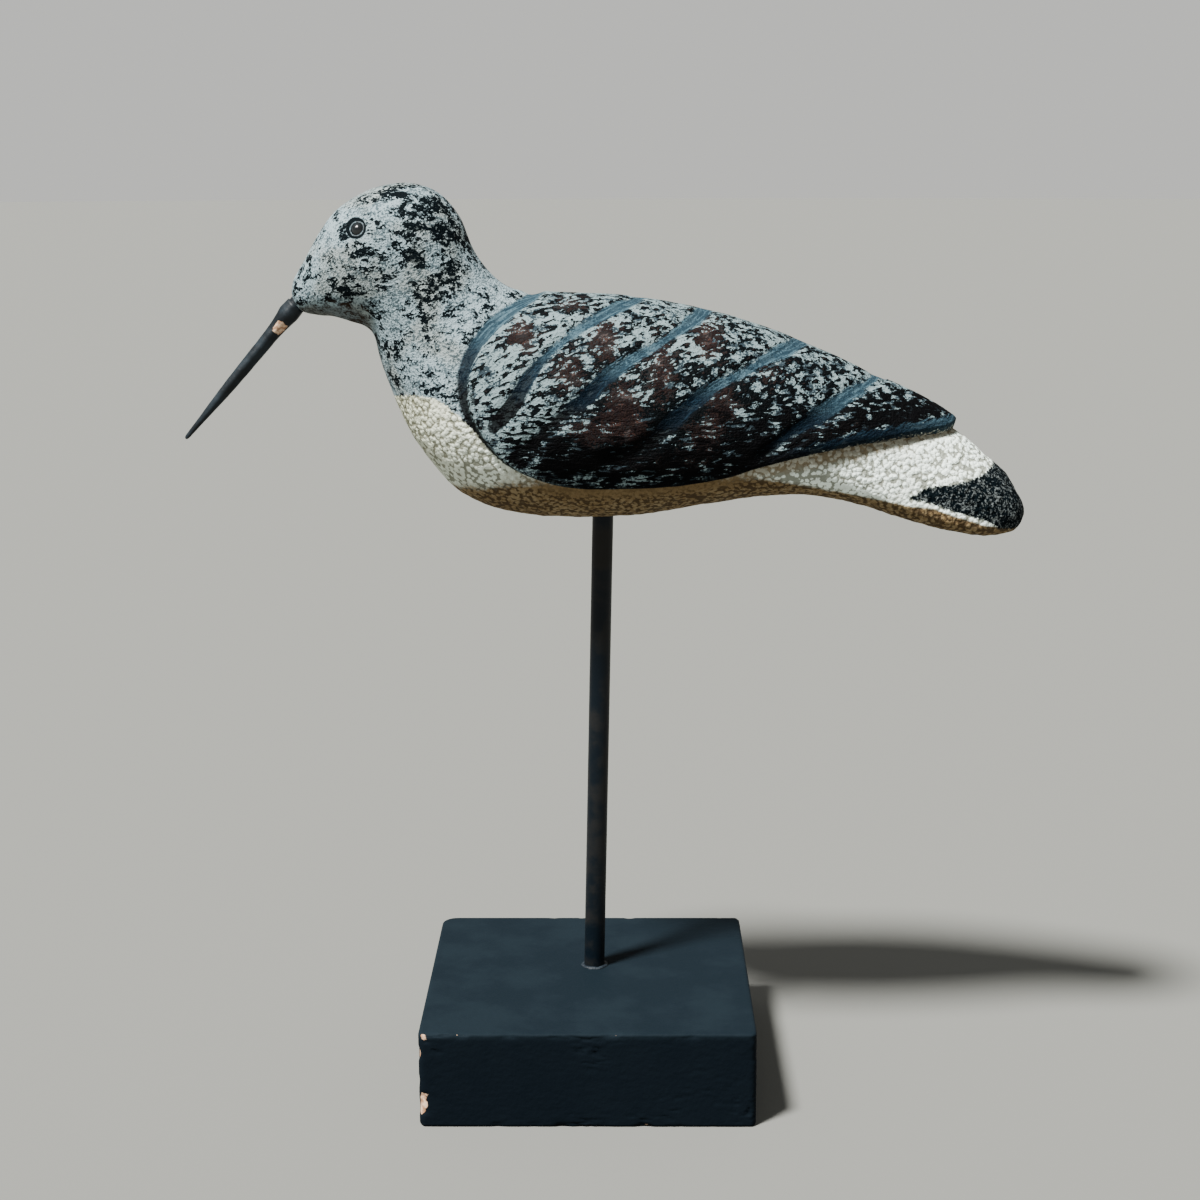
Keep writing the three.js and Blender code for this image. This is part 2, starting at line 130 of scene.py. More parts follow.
SECTIONS = {
    "snout tip": Section((-88.6, 242.6), (-88.4, 241.0), 0.8, 0.5, 2.0, 2.0),
    "snout": Section((-87.6, 246.4), (-86.0, 237.2), 5.2, 0.52, 2.1, 2.1),
    "forehead": Section((-84.0, 252.6), (-81.0, 235.6), 8.6, 0.55, 2.1, 2.1),
    "brow": Section((-80.0, 259.6), (-76.0, 235.3), 11.6, 0.55, 2.1, 2.1),
    "eye": Section((-73.4, 267.6), (-71.0, 234.0), 14.4, 0.52, 2.1, 2.1),
    "crown front": Section((-63.4, 273.0), (-66.8, 232.6), 16.2, 0.48, 2.1, 2.1),
    "crown": Section((-53.5, 274.6), (-64.0, 229.8), 17.0, 0.47, 2.1, 2.1),
    "crown back": Section((-44.4, 271.9), (-62.5, 223.4), 17.0, 0.48, 2.1, 2.0),
    "nape": Section((-38.0, 264.8), (-60.4, 216.8), 17.2, 0.52, 2.0, 2.0),
    "neck": Section((-34.2, 255.8), (-57.6, 209.6), 18.2, 0.56, 2.0, 2.0),
    "neck foot": Section((-29.4, 248.4), (-53.2, 200.3), 21.0, 0.6, 2.0, 2.0),
    "mantle": Section((-22.4, 243.4), (-46.8, 191.0), 25.0, 0.6, 2.0, 2.0),
    "breast": Section((-12.4, 242.0), (-37.4, 181.6), 28.6, 0.56, 2.0, 2.0),
    "breast back": Section((-1.0, 241.6), (-23.0, 176.3), 30.6, 0.54, 2.0, 2.0),
    "belly": Section((12.0, 240.6), (-4.0, 174.8), 31.2, 0.54, 2.0, 2.0),
    "belly back": Section((26.0, 238.2), (16.0, 175.6), 30.4, 0.55, 2.0, 2.1),
    "rump": Section((41.0, 234.6), (35.0, 178.7), 28.2, 0.58, 2.0, 2.2),
    "rump back": Section((56.0, 229.6), (53.0, 181.3), 25.0, 0.62, 1.9, 2.3),
    "vent": Section((71.0, 223.0), (69.0, 181.5), 21.8, 0.68, 1.8, 2.6),
    "tail root": Section((86.0, 215.6), (85.0, 178.0), 19.2, 0.76, 1.7, 2.9),
    "tail": Section((100.0, 208.4), (99.0, 173.6), 17.8, 0.82, 1.7, 3.1),
    "tail middle": Section((111.5, 201.0), (110.0, 170.9), 17.0, 0.83, 1.8, 3.1),
    "tail back": Section((120.5, 193.2), (118.0, 169.5), 15.4, 0.8, 1.9, 2.9),
    "tail round": Section((127.0, 187.6), (124.6, 169.4), 12.6, 0.72, 2.0, 2.6),
    "tail edge": Section((131.2, 180.8), (129.6, 170.6), 8.4, 0.6, 2.0, 2.2),
    "tail tip": Section((133.0, 177.0), (132.8, 174.6), 1.6, 0.5, 2.0, 2.0),
}


class Skin:
    """The plain skin of the bird, before its carving."""

    def __init__(self, sections: list[Section]) -> None:
        """Lay the sections out along the bird.

        Args:
            sections: The cross-sections from the snout to the tail tip.
        """
        self.rows = np.array([[*s.top, *s.bottom, s.half, s.widest, s.crown, s.keel] for s in sections])
        steps = np.diff(self.rows, axis=0)
        lengths = (np.hypot(steps[:, 0], steps[:, 1]) + np.hypot(steps[:, 2], steps[:, 3])) / 2
        self.keys = np.concatenate([[0.0], np.cumsum(lengths)])
        self.length = float(self.keys[-1])

    def sections_at(self, along: np.ndarray) -> np.ndarray:
        """Interpolate the sections smoothly.

        Args:
            along: Places along the bird, in millimetres.

        Returns:
            One row of section values for each place.
        """
        last = len(self.keys) - 1
        index = np.arange(last + 1)
        before, after = np.maximum(index - 1, 0), np.minimum(index + 1, last)
        slopes = (self.rows[after] - self.rows[before]) / (self.keys[after] - self.keys[before])[:, None]
        cell = np.clip(np.searchsorted(self.keys, along, side="right") - 1, 0, last - 1)
        span = (self.keys[cell + 1] - self.keys[cell])[:, None]
        u = (along - self.keys[cell])[:, None] / span
        start = (2 * u**3 - 3 * u**2 + 1) * self.rows[cell] + (u**3 - 2 * u**2 + u) * span * slopes[cell]
        end = (3 * u**2 - 2 * u**3) * self.rows[cell + 1] + (u**3 - u**2) * span * slopes[cell + 1]
        return start + end

    def points(self, along: np.ndarray, around: np.ndarray) -> np.ndarray:
        """Find points of the skin.

        Args:
            along: Places along the bird.
            around: Turns from the ridge down the left side, 0.5 at the keel.

        Returns:
            The points, one row each.
        """
        row = self.sections_at(along)
        axis = row[:, 0:2] - row[:, 2:4]
        height = np.hypot(axis[:, 0], axis[:, 1])
        up = axis / height[:, None]
        centre = row[:, 0:2] + (row[:, 2:4] - row[:, 0:2]) * row[:, 5:6]
        sine, cosine = np.sin(around * 2 * np.pi), np.cos(around * 2 * np.pi)
        above = cosine >= 0
        reach = np.where(above, height * row[:, 5], height * (1 - row[:, 5]))
        fullness = np.where(above, row[:, 6], row[:, 7])
        out = row[:, 4] * np.sign(sine) * np.abs(sine) ** (2 / fullness)
        rise = reach * np.sign(cosine) * np.abs(cosine) ** (2 / fullness)
        return np.stack([centre[:, 0] + up[:, 0] * rise, MID_PLANE - out, centre[:, 1] + up[:, 1] * rise], axis=1)

    def frames(self, along: np.ndarray, around: np.ndarray) -> tuple[np.ndarray, np.ndarray]:
        """Find the outward and the downward direction on the skin.

        Args:
            along: Places along the bird.
            around: Turns from the ridge.

        Returns:
            The unit normals, and the unit directions in which around grows.
        """
        step, stride = 0.004, 0.08
        ahead = self.points(np.minimum(along + stride, self.length), around)
        lengthwise = ahead - self.points(np.maximum(along - stride, 0.0), around)
        crosswise = self.points(along, around + step) - self.points(along, around - step)
        normal = np.cross(crosswise, lengthwise)
        normal /= np.linalg.norm(normal, axis=1, keepdims=True) + 1e-12
        crosswise /= np.linalg.norm(crosswise, axis=1, keepdims=True) + 1e-12
        return normal, crosswise

    def seen(self, side_points: np.ndarray) -> tuple[np.ndarray, np.ndarray]:
        """Find where the left side of the skin is seen at points of the side view.

        Args:
            side_points: Rows of x and z.

        Returns:
            The places along, and the turns around.
        """
        low = np.zeros(len(side_points))
        high = np.full(len(side_points), self.length)
        for _ in range(40):
            middle = (low + high) / 2
            row = self.sections_at(middle)
            axis = row[:, 0:2] - row[:, 2:4]
            turn = axis[:, 0] * (side_points[:, 1] - row[:, 3]) - axis[:, 1] * (side_points[:, 0] - row[:, 2])
            low, high = np.where(turn < 0, middle, low), np.where(turn < 0, high, middle)
        row = self.sections_at(low)
        axis = row[:, 0:2] - row[:, 2:4]
        height = np.hypot(axis[:, 0], axis[:, 1])
        up = axis / height[:, None]
        centre = row[:, 0:2] + (row[:, 2:4] - row[:, 0:2]) * row[:, 5:6]
        rise = ((side_points - centre) * up).sum(axis=1)
        reach = np.where(rise >= 0, height * row[:, 5], height * (1 - row[:, 5]))
        fullness = np.where(rise >= 0, row[:, 6], row[:, 7])
        share = np.minimum(np.abs(rise) / reach, 1.0) ** (fullness / 2)
        return low, np.arccos(np.sign(rise) * share) / (2 * np.pi)


class Line:
    """A smooth line drawn on the left side of the skin through points of the side view."""

    def __init__(self, skin: Skin, side_points: list[tuple[float, float]], pieces: int) -> None:
        """Draw the line.

        Args:
            skin: The plain skin.
            side_points: The points of the side view that it goes through.
            pieces: How many straight pieces stand for it.
        """
        self.flat = self.rounded(np.array(side_points), pieces)
        self.along, self.around = skin.seen(self.flat)
        self.points = skin.points(self.along, self.around)
        sizes = np.linalg.norm(np.diff(self.points, axis=0), axis=1)
        self.travelled = np.concatenate([[0.0], np.cumsum(sizes)])
        self.length = float(self.travelled[-1])

    @staticmethod
    def rounded(corners: np.ndarray, pieces: int) -> np.ndarray:
        """Round a row of corners into a smooth line.

        Args:
            corners: The points that the line goes through.
            pieces: How many straight pieces stand for it.

        Returns:
            Evenly spaced points of the line.
        """
        keys = np.concatenate([[0.0], np.cumsum(np.hypot(*np.diff(corners, axis=0).T))])
        last = len(keys) - 1
        index = np.arange(last + 1)
        before, after = np.maximum(index - 1, 0), np.minimum(index + 1, last)
        slopes = (corners[after] - corners[before]) / (keys[after] - keys[before])[:, None]
        at = np.linspace(0.0, keys[-1], pieces + 1)
        cell = np.clip(np.searchsorted(keys, at, side="right") - 1, 0, last - 1)
        span = (keys[cell + 1] - keys[cell])[:, None]
        u = (at - keys[cell])[:, None] / span
        start = (2 * u**3 - 3 * u**2 + 1) * corners[cell] + (u**3 - 2 * u**2 + u) * span * slopes[cell]
        end = (3 * u**2 - 2 * u**3) * corners[cell + 1] + (u**3 - u**2) * span * slopes[cell + 1]
        return start + end

    def nearest(self, points: np.ndarray) -> tuple[np.ndarray, np.ndarray]:
        """Measure points against the line.

        Args:
            points: Points on the left side.

        Returns:
            The distance of each, and how far along the line its nearest place is.
        """
        distance = np.full(len(points), np.inf)
        travelled = np.zeros(len(points))
        for start, end, gone in zip(self.points[:-1], self.points[1:], self.travelled[:-1]):
            piece = end - start
            size = float(np.linalg.norm(piece)) + 1e-9
            share = np.clip(((points - start) @ piece) / size**2, 0.0, 1.0)
            away = np.linalg.norm(points - start - share[:, None] * piece, axis=1)
            closer = away < distance
            distance[closer] = away[closer]
            travelled[closer] = gone + share[closer] * size
        return distance, travelled


def inside_outline(outline: np.ndarray, points: np.ndarray) -> np.ndarray:
    """Tell which points of the side view lie inside an outline.

    Args:
        outline: The corners of the closed outline.
        points: Rows of x and z.

    Returns:
        True for each point inside.
    """
    inside = np.zeros(len(points), dtype=bool)
    for (ax, az), (bx, bz) in zip(outline, np.roll(outline, 1, axis=0)):
        if az == bz:
            continue
        crosses = (az > points[:, 1]) != (bz > points[:, 1])
        inside ^= crosses & (points[:, 0] < (bx - ax) * (points[:, 1] - az) / (bz - az) + ax)
    return inside


# Shader building


class Signal:
    """A number that runs through a material, worked on with Python's own operators."""

    def __init__(self, nodes: "Recipe", socket: bpy.types.NodeSocket) -> None:
        """Wrap a socket.

        Args:
            nodes: The recipe that the socket belongs to.
            socket: The output socket.
        """
        self.nodes = nodes
        self.socket = socket

    def __add__(self, other: "Signal | float") -> "Signal":
        """Add."""
        return self.nodes.math("ADD", self, other)

    def __radd__(self, other: float) -> "Signal":
        """Add to a plain number."""
        return self.nodes.math("ADD", other, self)

    def __sub__(self, other: "Signal | float") -> "Signal":
        """Subtract."""
        return self.nodes.math("SUBTRACT", self, other)

    def __rsub__(self, other: float) -> "Signal":
        """Subtract from a plain number."""
        return self.nodes.math("SUBTRACT", other, self)

    def __mul__(self, other: "Signal | float") -> "Signal":
        """Multiply."""
        return self.nodes.math("MULTIPLY", self, other)

    def __rmul__(self, other: float) -> "Signal":
        """Multiply a plain number."""
        return self.nodes.math("MULTIPLY", other, self)

    def __or__(self, other: "Signal | float") -> "Signal":
        """Take the larger of two."""
        return self.nodes.math("MAXIMUM", self, other)

    def __and__(self, other: "Signal | float") -> "Signal":
        """Take the smaller of two."""
        return self.nodes.math("MINIMUM", self, other)


class Recipe:
    """The node tree of one finish."""

    def __init__(self, name: str) -> None:
        """Start a material with its shader.

        Args:
            name: The material's name.
        """
        self.material = bpy.data.materials.new(name)
        self.material.use_nodes = True
        self.tree = self.material.node_tree
        self.shader = next(n for n in self.tree.nodes if n.type == "BSDF_PRINCIPLED")
        self.coordinates = self.node("ShaderNodeTexCoord", {}, {}).outputs["Object"]

    def node(self, kind: str, settings: dict[str, object], inputs: dict[str | int, object]) -> bpy.types.Node:
        """Add a node.

        Args:
            kind: The node's type.
            settings: Its own settings, set first.
            inputs: Values or links by socket name or number.

        Returns:
            The node.
        """
        made = self.tree.nodes.new(kind)
        for name, value in settings.items():
            setattr(made, name, value)
        for key, value in inputs.items():
            self.feed(made.inputs[key], value)
        return made

    def feed(self, socket: bpy.types.NodeSocket, value: object) -> None:
        """Set or link a socket.

        Args:
            socket: The input socket.
            value: A signal, an output socket or a plain value.
        """
        if isinstance(value, Signal):
            self.tree.links.new(value.socket, socket)
        elif isinstance(value, bpy.types.NodeSocket):
            self.tree.links.new(value, socket)
        else:
            socket.default_value = value

    def math(self, operation: str, first: object, second: object = 0.0) -> Signal:
        """Add a Math node.

        Args:
            operation: What it does.
            first: Its first value.
            second: Its second value.

        Returns:
            The result.
        """
        made = self.node("ShaderNodeMath", {"operation": operation}, {0: first, 1: second})
        return Signal(self, made.outputs[0])

    def attribute(self, name: str) -> Signal:
        """Read a number that the mesh carries."""
        return Signal(self, self.node("ShaderNodeAttribute", {"attribute_name": name}, {}).outputs["Fac"])

    def noise(self, vector: bpy.types.NodeSocket, detail: float, rough: float, warp: float) -> Signal:
        """Add a noise pattern with features about one unit long.

        Args:
            vector: Where it is read.
            detail: How many finer layers it has.
            rough: How strong the finer layers are.
            warp: How much it swirls.

        Returns:
            Its value, about 0.5 in the middle.
        """
        inputs = {"Vector": vector, "Scale": 1.0, "Detail": detail, "Roughness": rough, "Distortion": warp}
        return Signal(self, self.node("ShaderNodeTexNoise", {}, inputs).outputs[0])

    def grain(self, sizes: tuple[float, float, float] | float, detail: float = 2.0, rough: float = 0.5,
              warp: float = 0.0, tilt: float = 0.0) -> Signal:
        """Add a noise pattern that fills space.

        Args:
            sizes: How long its features are along X, Y and Z, in millimetres.
            detail: How many finer layers it has.
            rough: How strong the finer layers are.
            warp: How much it swirls.
            tilt: How far it leans in the side view, in degrees.

        Returns:
            Its value, about 0.5 in the middle.
        """
        return self.noise(self.placed(sizes, tilt), detail, rough, warp)

    def streaks(self, name: str, sizes: tuple[float, float, float], detail: float = 3.0,
                rough: float = 0.6) -> Signal:
        """Add a noise pattern in directions that the mesh carries.

        Args:
            name: The vector attribute that it follows.
            sizes: How long its features are along that vector's parts, in millimetres.
            detail: How many finer layers it has.
            rough: How strong the finer layers are.

        Returns:
            Its value, about 0.5 in the middle.
        """
        vector = self.node("ShaderNodeAttribute", {"attribute_name": name}, {}).outputs["Vector"]
        stretched = self.node("ShaderNodeMapping", {"vector_type": "TEXTURE"}, {"Vector": vector, "Scale": sizes})
        return self.noise(stretched.outputs[0], detail, rough, 0.0)

    def lumps(self, size: float) -> Signal:
        """Add a pattern of rounded grains.

        Args:
            size: How far apart they lie, in millimetres.

        Returns:
            The distance to the middle of the nearest grain, about 0.5 between two.
        """
        inputs = {"Vector": self.placed(size), "Scale": 1.0}
        return Signal(self, self.node("ShaderNodeTexVoronoi", {}, inputs).outputs[0])

    def placed(self, sizes: tuple[float, float, float] | float, tilt: float = 0.0) -> bpy.types.NodeSocket:
        """Give object coordinates in units of a pattern's features.

        Args:
            sizes: The size of a feature along X, Y and Z, in millimetres.
            tilt: How far the pattern leans in the side view, in degrees.

        Returns:
            The vector socket.
        """
        along = (sizes,) * 3 if isinstance(sizes, (int, float)) else sizes
        inputs = {"Vector": self.coordinates, "Scale": tuple(s * METRES for s in along),
                  "Rotation": (0.0, math.radians(-tilt), 0.0)}
        return self.node("ShaderNodeMapping", {"vector_type": "TEXTURE"}, inputs).outputs[0]

    def ease(self, value: Signal, low: object, high: object) -> Signal:
        """Ease from 0 to 1 as a signal goes from low to high.

        Args:
            value: The signal.
            low: Where the result is 0.
            high: Where the result is 1.

        Returns:
            The eased share.
        """
        settings = {"interpolation_type": "SMOOTHSTEP"}
        made = self.node("ShaderNodeMapRange", settings, {0: value, 1: low, 2: high})
        return Signal(self, made.outputs[0])

    def blend(self, share: object, first: object, second: object) -> bpy.types.NodeSocket:
        """Mix two colours.

        Args:
            share: How much of the second.
            first: The first colour.
            second: The second colour.

        Returns:
            The mixed colour's socket.
        """
        made = self.node("ShaderNodeMix", {"data_type": "RGBA"}, {0: share, 6: first, 7: second})
        return made.outputs[2]

    def finish(self, colour: object, rough: object, relief: Signal | None = None, depth: float = 0.0,
               fixed: dict[str, float] | None = None) -> bpy.types.Material:
        """Wire the shader.

        Args:
            colour: The base colour.
            rough: The roughness.
            relief: The height of the fine relief, from 0 to 1.
            depth: How deep that relief is, in metres.
            fixed: Other values of the shader that are the same all over.

        Returns:
            The material.
        """
        self.feed(self.shader.inputs["Base Color"], colour)
        self.feed(self.shader.inputs["Roughness"], rough)
        for name, value in (fixed or {}).items():
            self.shader.inputs[name].default_value = value
        if relief is not None:
            bump = self.node("ShaderNodeBump", {}, {"Height": relief, "Distance": depth, "Strength": 1.0})
            self.feed(self.shader.inputs["Normal"], bump.outputs[0])
        return self.material


# The carving and the painted zones

WING_EDGE = [
    (-17.0, 242.3), (-25.4, 237.5), (-31.6, 231.2), (-35.9, 224.2), (-37.2, 217.1), (-36.0, 210.0), (-32.7, 203.7),
    (-28.1, 197.9), (-22.4, 193.1), (-13.6, 189.5), (-2.0, 187.3), (15.6, 187.6), (30.2, 188.7), (42.2, 190.9),
    (48.7, 193.0), (62.2, 196.1), (75.7, 198.3), (89.5, 199.8), (100.1, 200.8), (109.5, 201.6), (113.0, 203.6),
]
LOWER_EDGE_START = 6

FLUTES = {
    "first": [(17, 240.4), (9.8, 238.6), (-0.4, 233.7), (-8.2, 228.3), (-14.2, 222.6), (-18.3, 216.7),
              (-20.9, 212.1), (-26.8, 205.4)],
    "second": [(35, 236.4), (26.8, 231.7), (19.4, 227.6), (10.9, 223.1), (4.3, 218.4), (-0.3, 213.4),
               (-8.1, 208.0), (-14.3, 202.1), (-20.5, 197.0)],
    "third": [(64, 227.0), (53.0, 223.4), (45.4, 219.9), (37.3, 216.6), (30.0, 211.4), (23.4, 205.8),
              (15.5, 199.1), (2.5, 195.4)],
    "fourth": [(88, 216.4), (76.1, 211.7), (67.6, 207.1), (58.6, 202.3), (48.6, 195.2)],
}

LAST_FEATHERS_EDGE = [(92.0, 215.0), (82.2, 211.4), (74.4, 207.0), (65.4, 201.8), (57.0, 196.9), (51.6, 194.4), (49.6, 191.0)]

BREAST_EDGE = [(-60.0, 211.4), (-56.4, 212.2), (-49.5, 213.3), (-43.5, 212.4), (-38.8, 209.4), (-35.4, 206.2)]

# Where the tan underside begins: dirt and painted shade on the faces that turn down from the light.
UNDERSIDE_EDGE = [
    (-60.0, 184.0), (-40.0, 185.0), (-20.0, 187.5), (20.0, 190.0), (45.0, 190.0), (56.9, 188.7), (69.3, 185.5),
    (81.8, 183.0), (94.0, 180.3), (103.9, 178.9), (110.6, 176.4), (119.3, 173.6), (133.0, 171.8),
]

TAIL_PATCH = np.array([
    (94.8, 182.4), (100.5, 185.6), (110.6, 186.6), (118.0, 188.5), (123.0, 191.5), (125.0, 198.0), (150.0, 198.0),
    (150.0, 171.6), (133.0, 171.6), (123.3, 172.4), (119.6, 175.0), (110.6, 177.7), (101.8, 181.0),
])


@dataclass(frozen=True)
class Dab:
    """A soft patch of paint seen from the side: its middle, its half sizes and its strength."""

    x: float
    z: float
    wide: float
    tall: float
    strength: float


# Soft patches that darken (above 0) or lighten (below 0) the paint. Those low on the wing and towards its rear are
# partly painted shade where it turns down from the light.
TONES = [
    Dab(-76, 250, 9, 10, -0.16), Dab(-50, 270, 12, 6, 0.12), Dab(-42, 256, 6, 14, 0.24), Dab(-64, 242, 12, 6, 0.16),
    Dab(-42, 232, 10, 12, -0.12), Dab(-48, 216, 10, 5, 0.05), Dab(-28, 232, 8, 6, -0.05), Dab(5, 226, 12, 10, -0.04),
    Dab(28, 208, 16, 10, 0.14), Dab(58, 214, 18, 10, 0.26), Dab(80, 211, 8, 5, 0.1), Dab(10, 194, 50, 7, 0.42), Dab(70, 203, 24, 5, 0.22),
    Dab(100, 205, 14, 5, 0.45), Dab(-10, 200, 14, 8, 0.16),
]

REDS = [
    Dab(-18.7, 230.8, 3.4, 3.6, 1.0), Dab(5.4, 229.9, 3.6, 4.2, 1.0), Dab(-4.9, 239.0, 3.5, 1.6, 0.7),
    Dab(-4.7, 220.4, 3.4, 4.0, 0.9), Dab(10.3, 211.9, 4.0, 5.2, 1.0), Dab(21.9, 221.0, 3.0, 6.4, 1.0),
    Dab(35.3, 228.9, 3.2, 4.6, 1.0), Dab(39.4, 211.5, 3.4, 4.6, 1.0), Dab(11.8, 204.8, 4.6, 3.6, 0.9),
    Dab(33.5, 202.4, 4.6, 4.4, 0.9), Dab(-0.4, 204.2, 4.4, 3.0, 0.9), Dab(53.7, 219.3, 4.2, 3.0, 0.5),
    Dab(73.0, 203.2, 8.0, 2.4, 0.6), Dab(24.0, 195.0, 12.0, 3.0, 0.5),
]


EYE_RING = (-67.2, 261.9)


def painted(dabs: list[Dab], points: np.ndarray) -> np.ndarray:
    """Add up soft dabs at points of the skin.

    Args:
        dabs: The dabs.
        points: The points.

    Returns:
        The summed strength at each point.
    """
    total = np.zeros(len(points))
    for dab in dabs:
        away = ((points[:, 0] - dab.x) / dab.wide) ** 2 + ((points[:, 2] - dab.z) / dab.tall) ** 2
        total += dab.strength * np.exp(-0.5 * away)
    return total


@dataclass
class Carving:
    """The wing's relief, the gouged flutes and the painted zones of one side of the bird."""

    skin: Skin
    stand_at_shoulder: float = 0.5
    stand_at_tip: float = 2.5
    rise_at_shoulder: float = 4.8
    rise_at_tip: float = 0.9
    valley_at_shoulder: float = 0.8
    valley_at_tip: float = 0.35
    valley_spread: float = 3.5
    flute_half_width: float = 3.5
    flute_depth: float = 0.9
    band_half_width: float = 2.2
    lip: float = 0.55
    full_reach: float = 105.0

    def __post_init__(self) -> None:
        """Draw the lines on the skin."""
        self.wing_edge = Line(self.skin, WING_EDGE, 150)
        self.flutes = [Line(self.skin, line, 40) for line in FLUTES.values()]
        self.last_feathers = Line(self.skin, LAST_FEATHERS_EDGE, 30)
        self.white_edge = Line(self.skin, BREAST_EDGE + WING_EDGE[LOWER_EDGE_START:], 150)

    def signed(self, line: Line, points: np.ndarray, closing: list[tuple[float, float]]) -> np.ndarray:
        """Measure points against the region that a line and some far corners close off.

        Args:
            line: The region's edge.
            points: Points of the left side.
            closing: Far corners of the side view, from the line's end back to its start.

        Returns:
            The distance to the line, positive inside the region.
        """
        distance, _ = line.nearest(points)
        outline = np.vstack([line.flat, np.array(closing)])
        return np.where(inside_outline(outline, points[:, [0, 2]]), distance, -distance)

    def reach(self, points: np.ndarray) -> np.ndarray:
        """Tell how far points lie from the shoulder, down and back, from 0 to 1."""
        start_x, start_z = WING_EDGE[0]
        return np.clip(((points[:, 0] - start_x) * 0.5 + start_z - points[:, 2]) / self.full_reach, 0.0, 1.0)

    def measure(self, points: np.ndarray, normal: np.ndarray) -> dict[str, np.ndarray]:
        """Work out the relief and the painted zones.

        Args:
            points: Points of the plain left side.
            normal: The outward directions there.

        Returns:
            The height over the plain skin, the sideways lip, and what the paint needs to know.
        """
        roof = 420.0
        wing = self.signed(self.wing_edge, points, [(113.0, roof), (-17.0, roof)])
        reach = self.reach(points)
        early = np.clip(reach / 0.55, 0.0, 1.0)
        rise = self.rise_at_shoulder + (self.rise_at_tip - self.rise_at_shoulder) * early**0.9
        steep = 1.8 + (0.4 - 1.8) * early
        valley = self.valley_at_shoulder + (self.valley_at_tip - self.valley_at_shoulder) * reach
        stand = self.stand_at_shoulder + (self.stand_at_tip - self.stand_at_shoulder) * reach
        climbed = np.clip(np.maximum(wing, 0.0) / rise, 0.0, 1.0) ** steep
        outside = smooth_step(1.0 + wing / self.valley_spread, 0.0, 1.0)
        height = np.where(wing >= 0, -valley + (stand + valley) * climbed, -valley * outside)
        crest = np.exp(-(((wing - rise) / 0.9) ** 2)) * smooth_step(reach, 0.12, 0.25)
        crest *= 1.0 - smooth_step(reach, 0.45, 0.6)
        height += 0.3 * crest
        last = self.signed(self.last_feathers, points, [(49.6, 150.0), (160.0, 150.0), (160.0, roof), (92.0, roof)])
        height += np.where(wing > 0, 0.6 * np.clip(last / 0.8, 0.0, 1.0) ** 0.6 * np.clip(wing / 2, 0, 1), 0.0)
        flute = np.full(len(points), -50.0)
        groove = np.zeros((len(points), 2))
        for line in self.flutes:
            distance, travelled = line.nearest(points)
            width = self.flute_half_width * (0.9 + 0.2 * np.sin(travelled / 9.0))
            hollow = np.clip(1.0 - (distance / width) ** 2, 0.0, 1.0)
            ends = np.clip((line.length - travelled) / 7.0 + 0.25, 0.0, 1.0) * smooth_step(travelled, -2.0, 9.0)
            edge = np.clip(wing / self.flute_half_width, 0.0, 1.0)
            height -= np.where(wing > 0, self.flute_depth * hollow * ends * edge, 0.0)
            painted_width = self.band_half_width * (0.85 + 0.3 * np.sin(travelled / 7.0 + line.length))
            closer = painted_width - distance > flute
            flute = np.where(closer, painted_width - distance, flute)
            groove[closer, 0] = travelled[closer]
            groove[closer, 1] = distance[closer]
        overhang = self.lip * np.exp(-((wing / 1.1) ** 2)) * (wing > 0) * smooth_step(reach, 0.45, 0.8)
        corners = [(140.0, 203.6), (150.0, 140.0), (-90.0, 140.0), (-90.0, 211.4)]
        return {
            "height": height,
            "overhang": overhang,
            "wing": wing,
            "reach": reach,
            "crest": crest,
            "flute": flute,
            "groove_gone": groove[:, 0],
            "groove_side": groove[:, 1],
            "white": self.signed(self.white_edge, points, corners),
            "patch": self.patch_distance(points),
            "under": self.below_arris(points),
            # Painted shade: faces of the lower head and neck that turn downwards.
            "chin_shade": smooth_step(-normal[:, 2], 0.3, 0.9) * smooth_step(points[:, 2], 210.0, 222.0),
            "low": smooth_step(-points[:, 2], -218.0, -204.0),
            # Painted light: how far down the wing a point lies, which darkens the bands' wash from lit blue to navy
            # and black.
            "depth": smooth_step(-points[:, 2] - points[:, 0] * 0.2, -242.0, -196.0) * 1.25,
            "tone": painted(TONES, points),
            "red": painted(REDS, points),
            "cluster": painted([Dab(d.x, d.z, d.wide * 1.7, d.tall * 1.5, d.strength) for d in REDS], points),
            "eye": np.hypot(points[:, 0] - EYE_RING[0], points[:, 2] - EYE_RING[1]),
        }

    def below_arris(self, points: np.ndarray) -> np.ndarray:
        """Tell how far points lie below the edge of the tan underside, which is dirt and painted shade where the body
        turns down from the light.

        Args:
            points: Points of the left side.

        Returns:
            The height below the edge, over the width of its soft border.
        """
        edge = np.array(UNDERSIDE_EDGE)
        height = np.interp(points[:, 0], edge[:, 0], edge[:, 1])
        border = np.interp(points[:, 0], [40.0, 75.0], [7.0, 1.6])
        return (height - points[:, 2]) / border

    def patch_distance(self, points: np.ndarray) -> np.ndarray:
        """Measure points against the dark patch on the tail.

        Args:
            points: Points of the left side.

        Returns:
            The distance to the patch's outline, positive inside.
        """
        flat = points[:, [0, 2]]
        distance = np.full(len(points), np.inf)
        for start, end in zip(TAIL_PATCH, np.roll(TAIL_PATCH, -1, axis=0)):
            piece = end - start
            share = np.clip(((flat - start) @ piece) / (piece @ piece), 0.0, 1.0)
            distance = np.minimum(distance, np.linalg.norm(flat - start - share[:, None] * piece, axis=1))
        return np.where(inside_outline(TAIL_PATCH, flat), distance, -distance)


# Modelling by hand


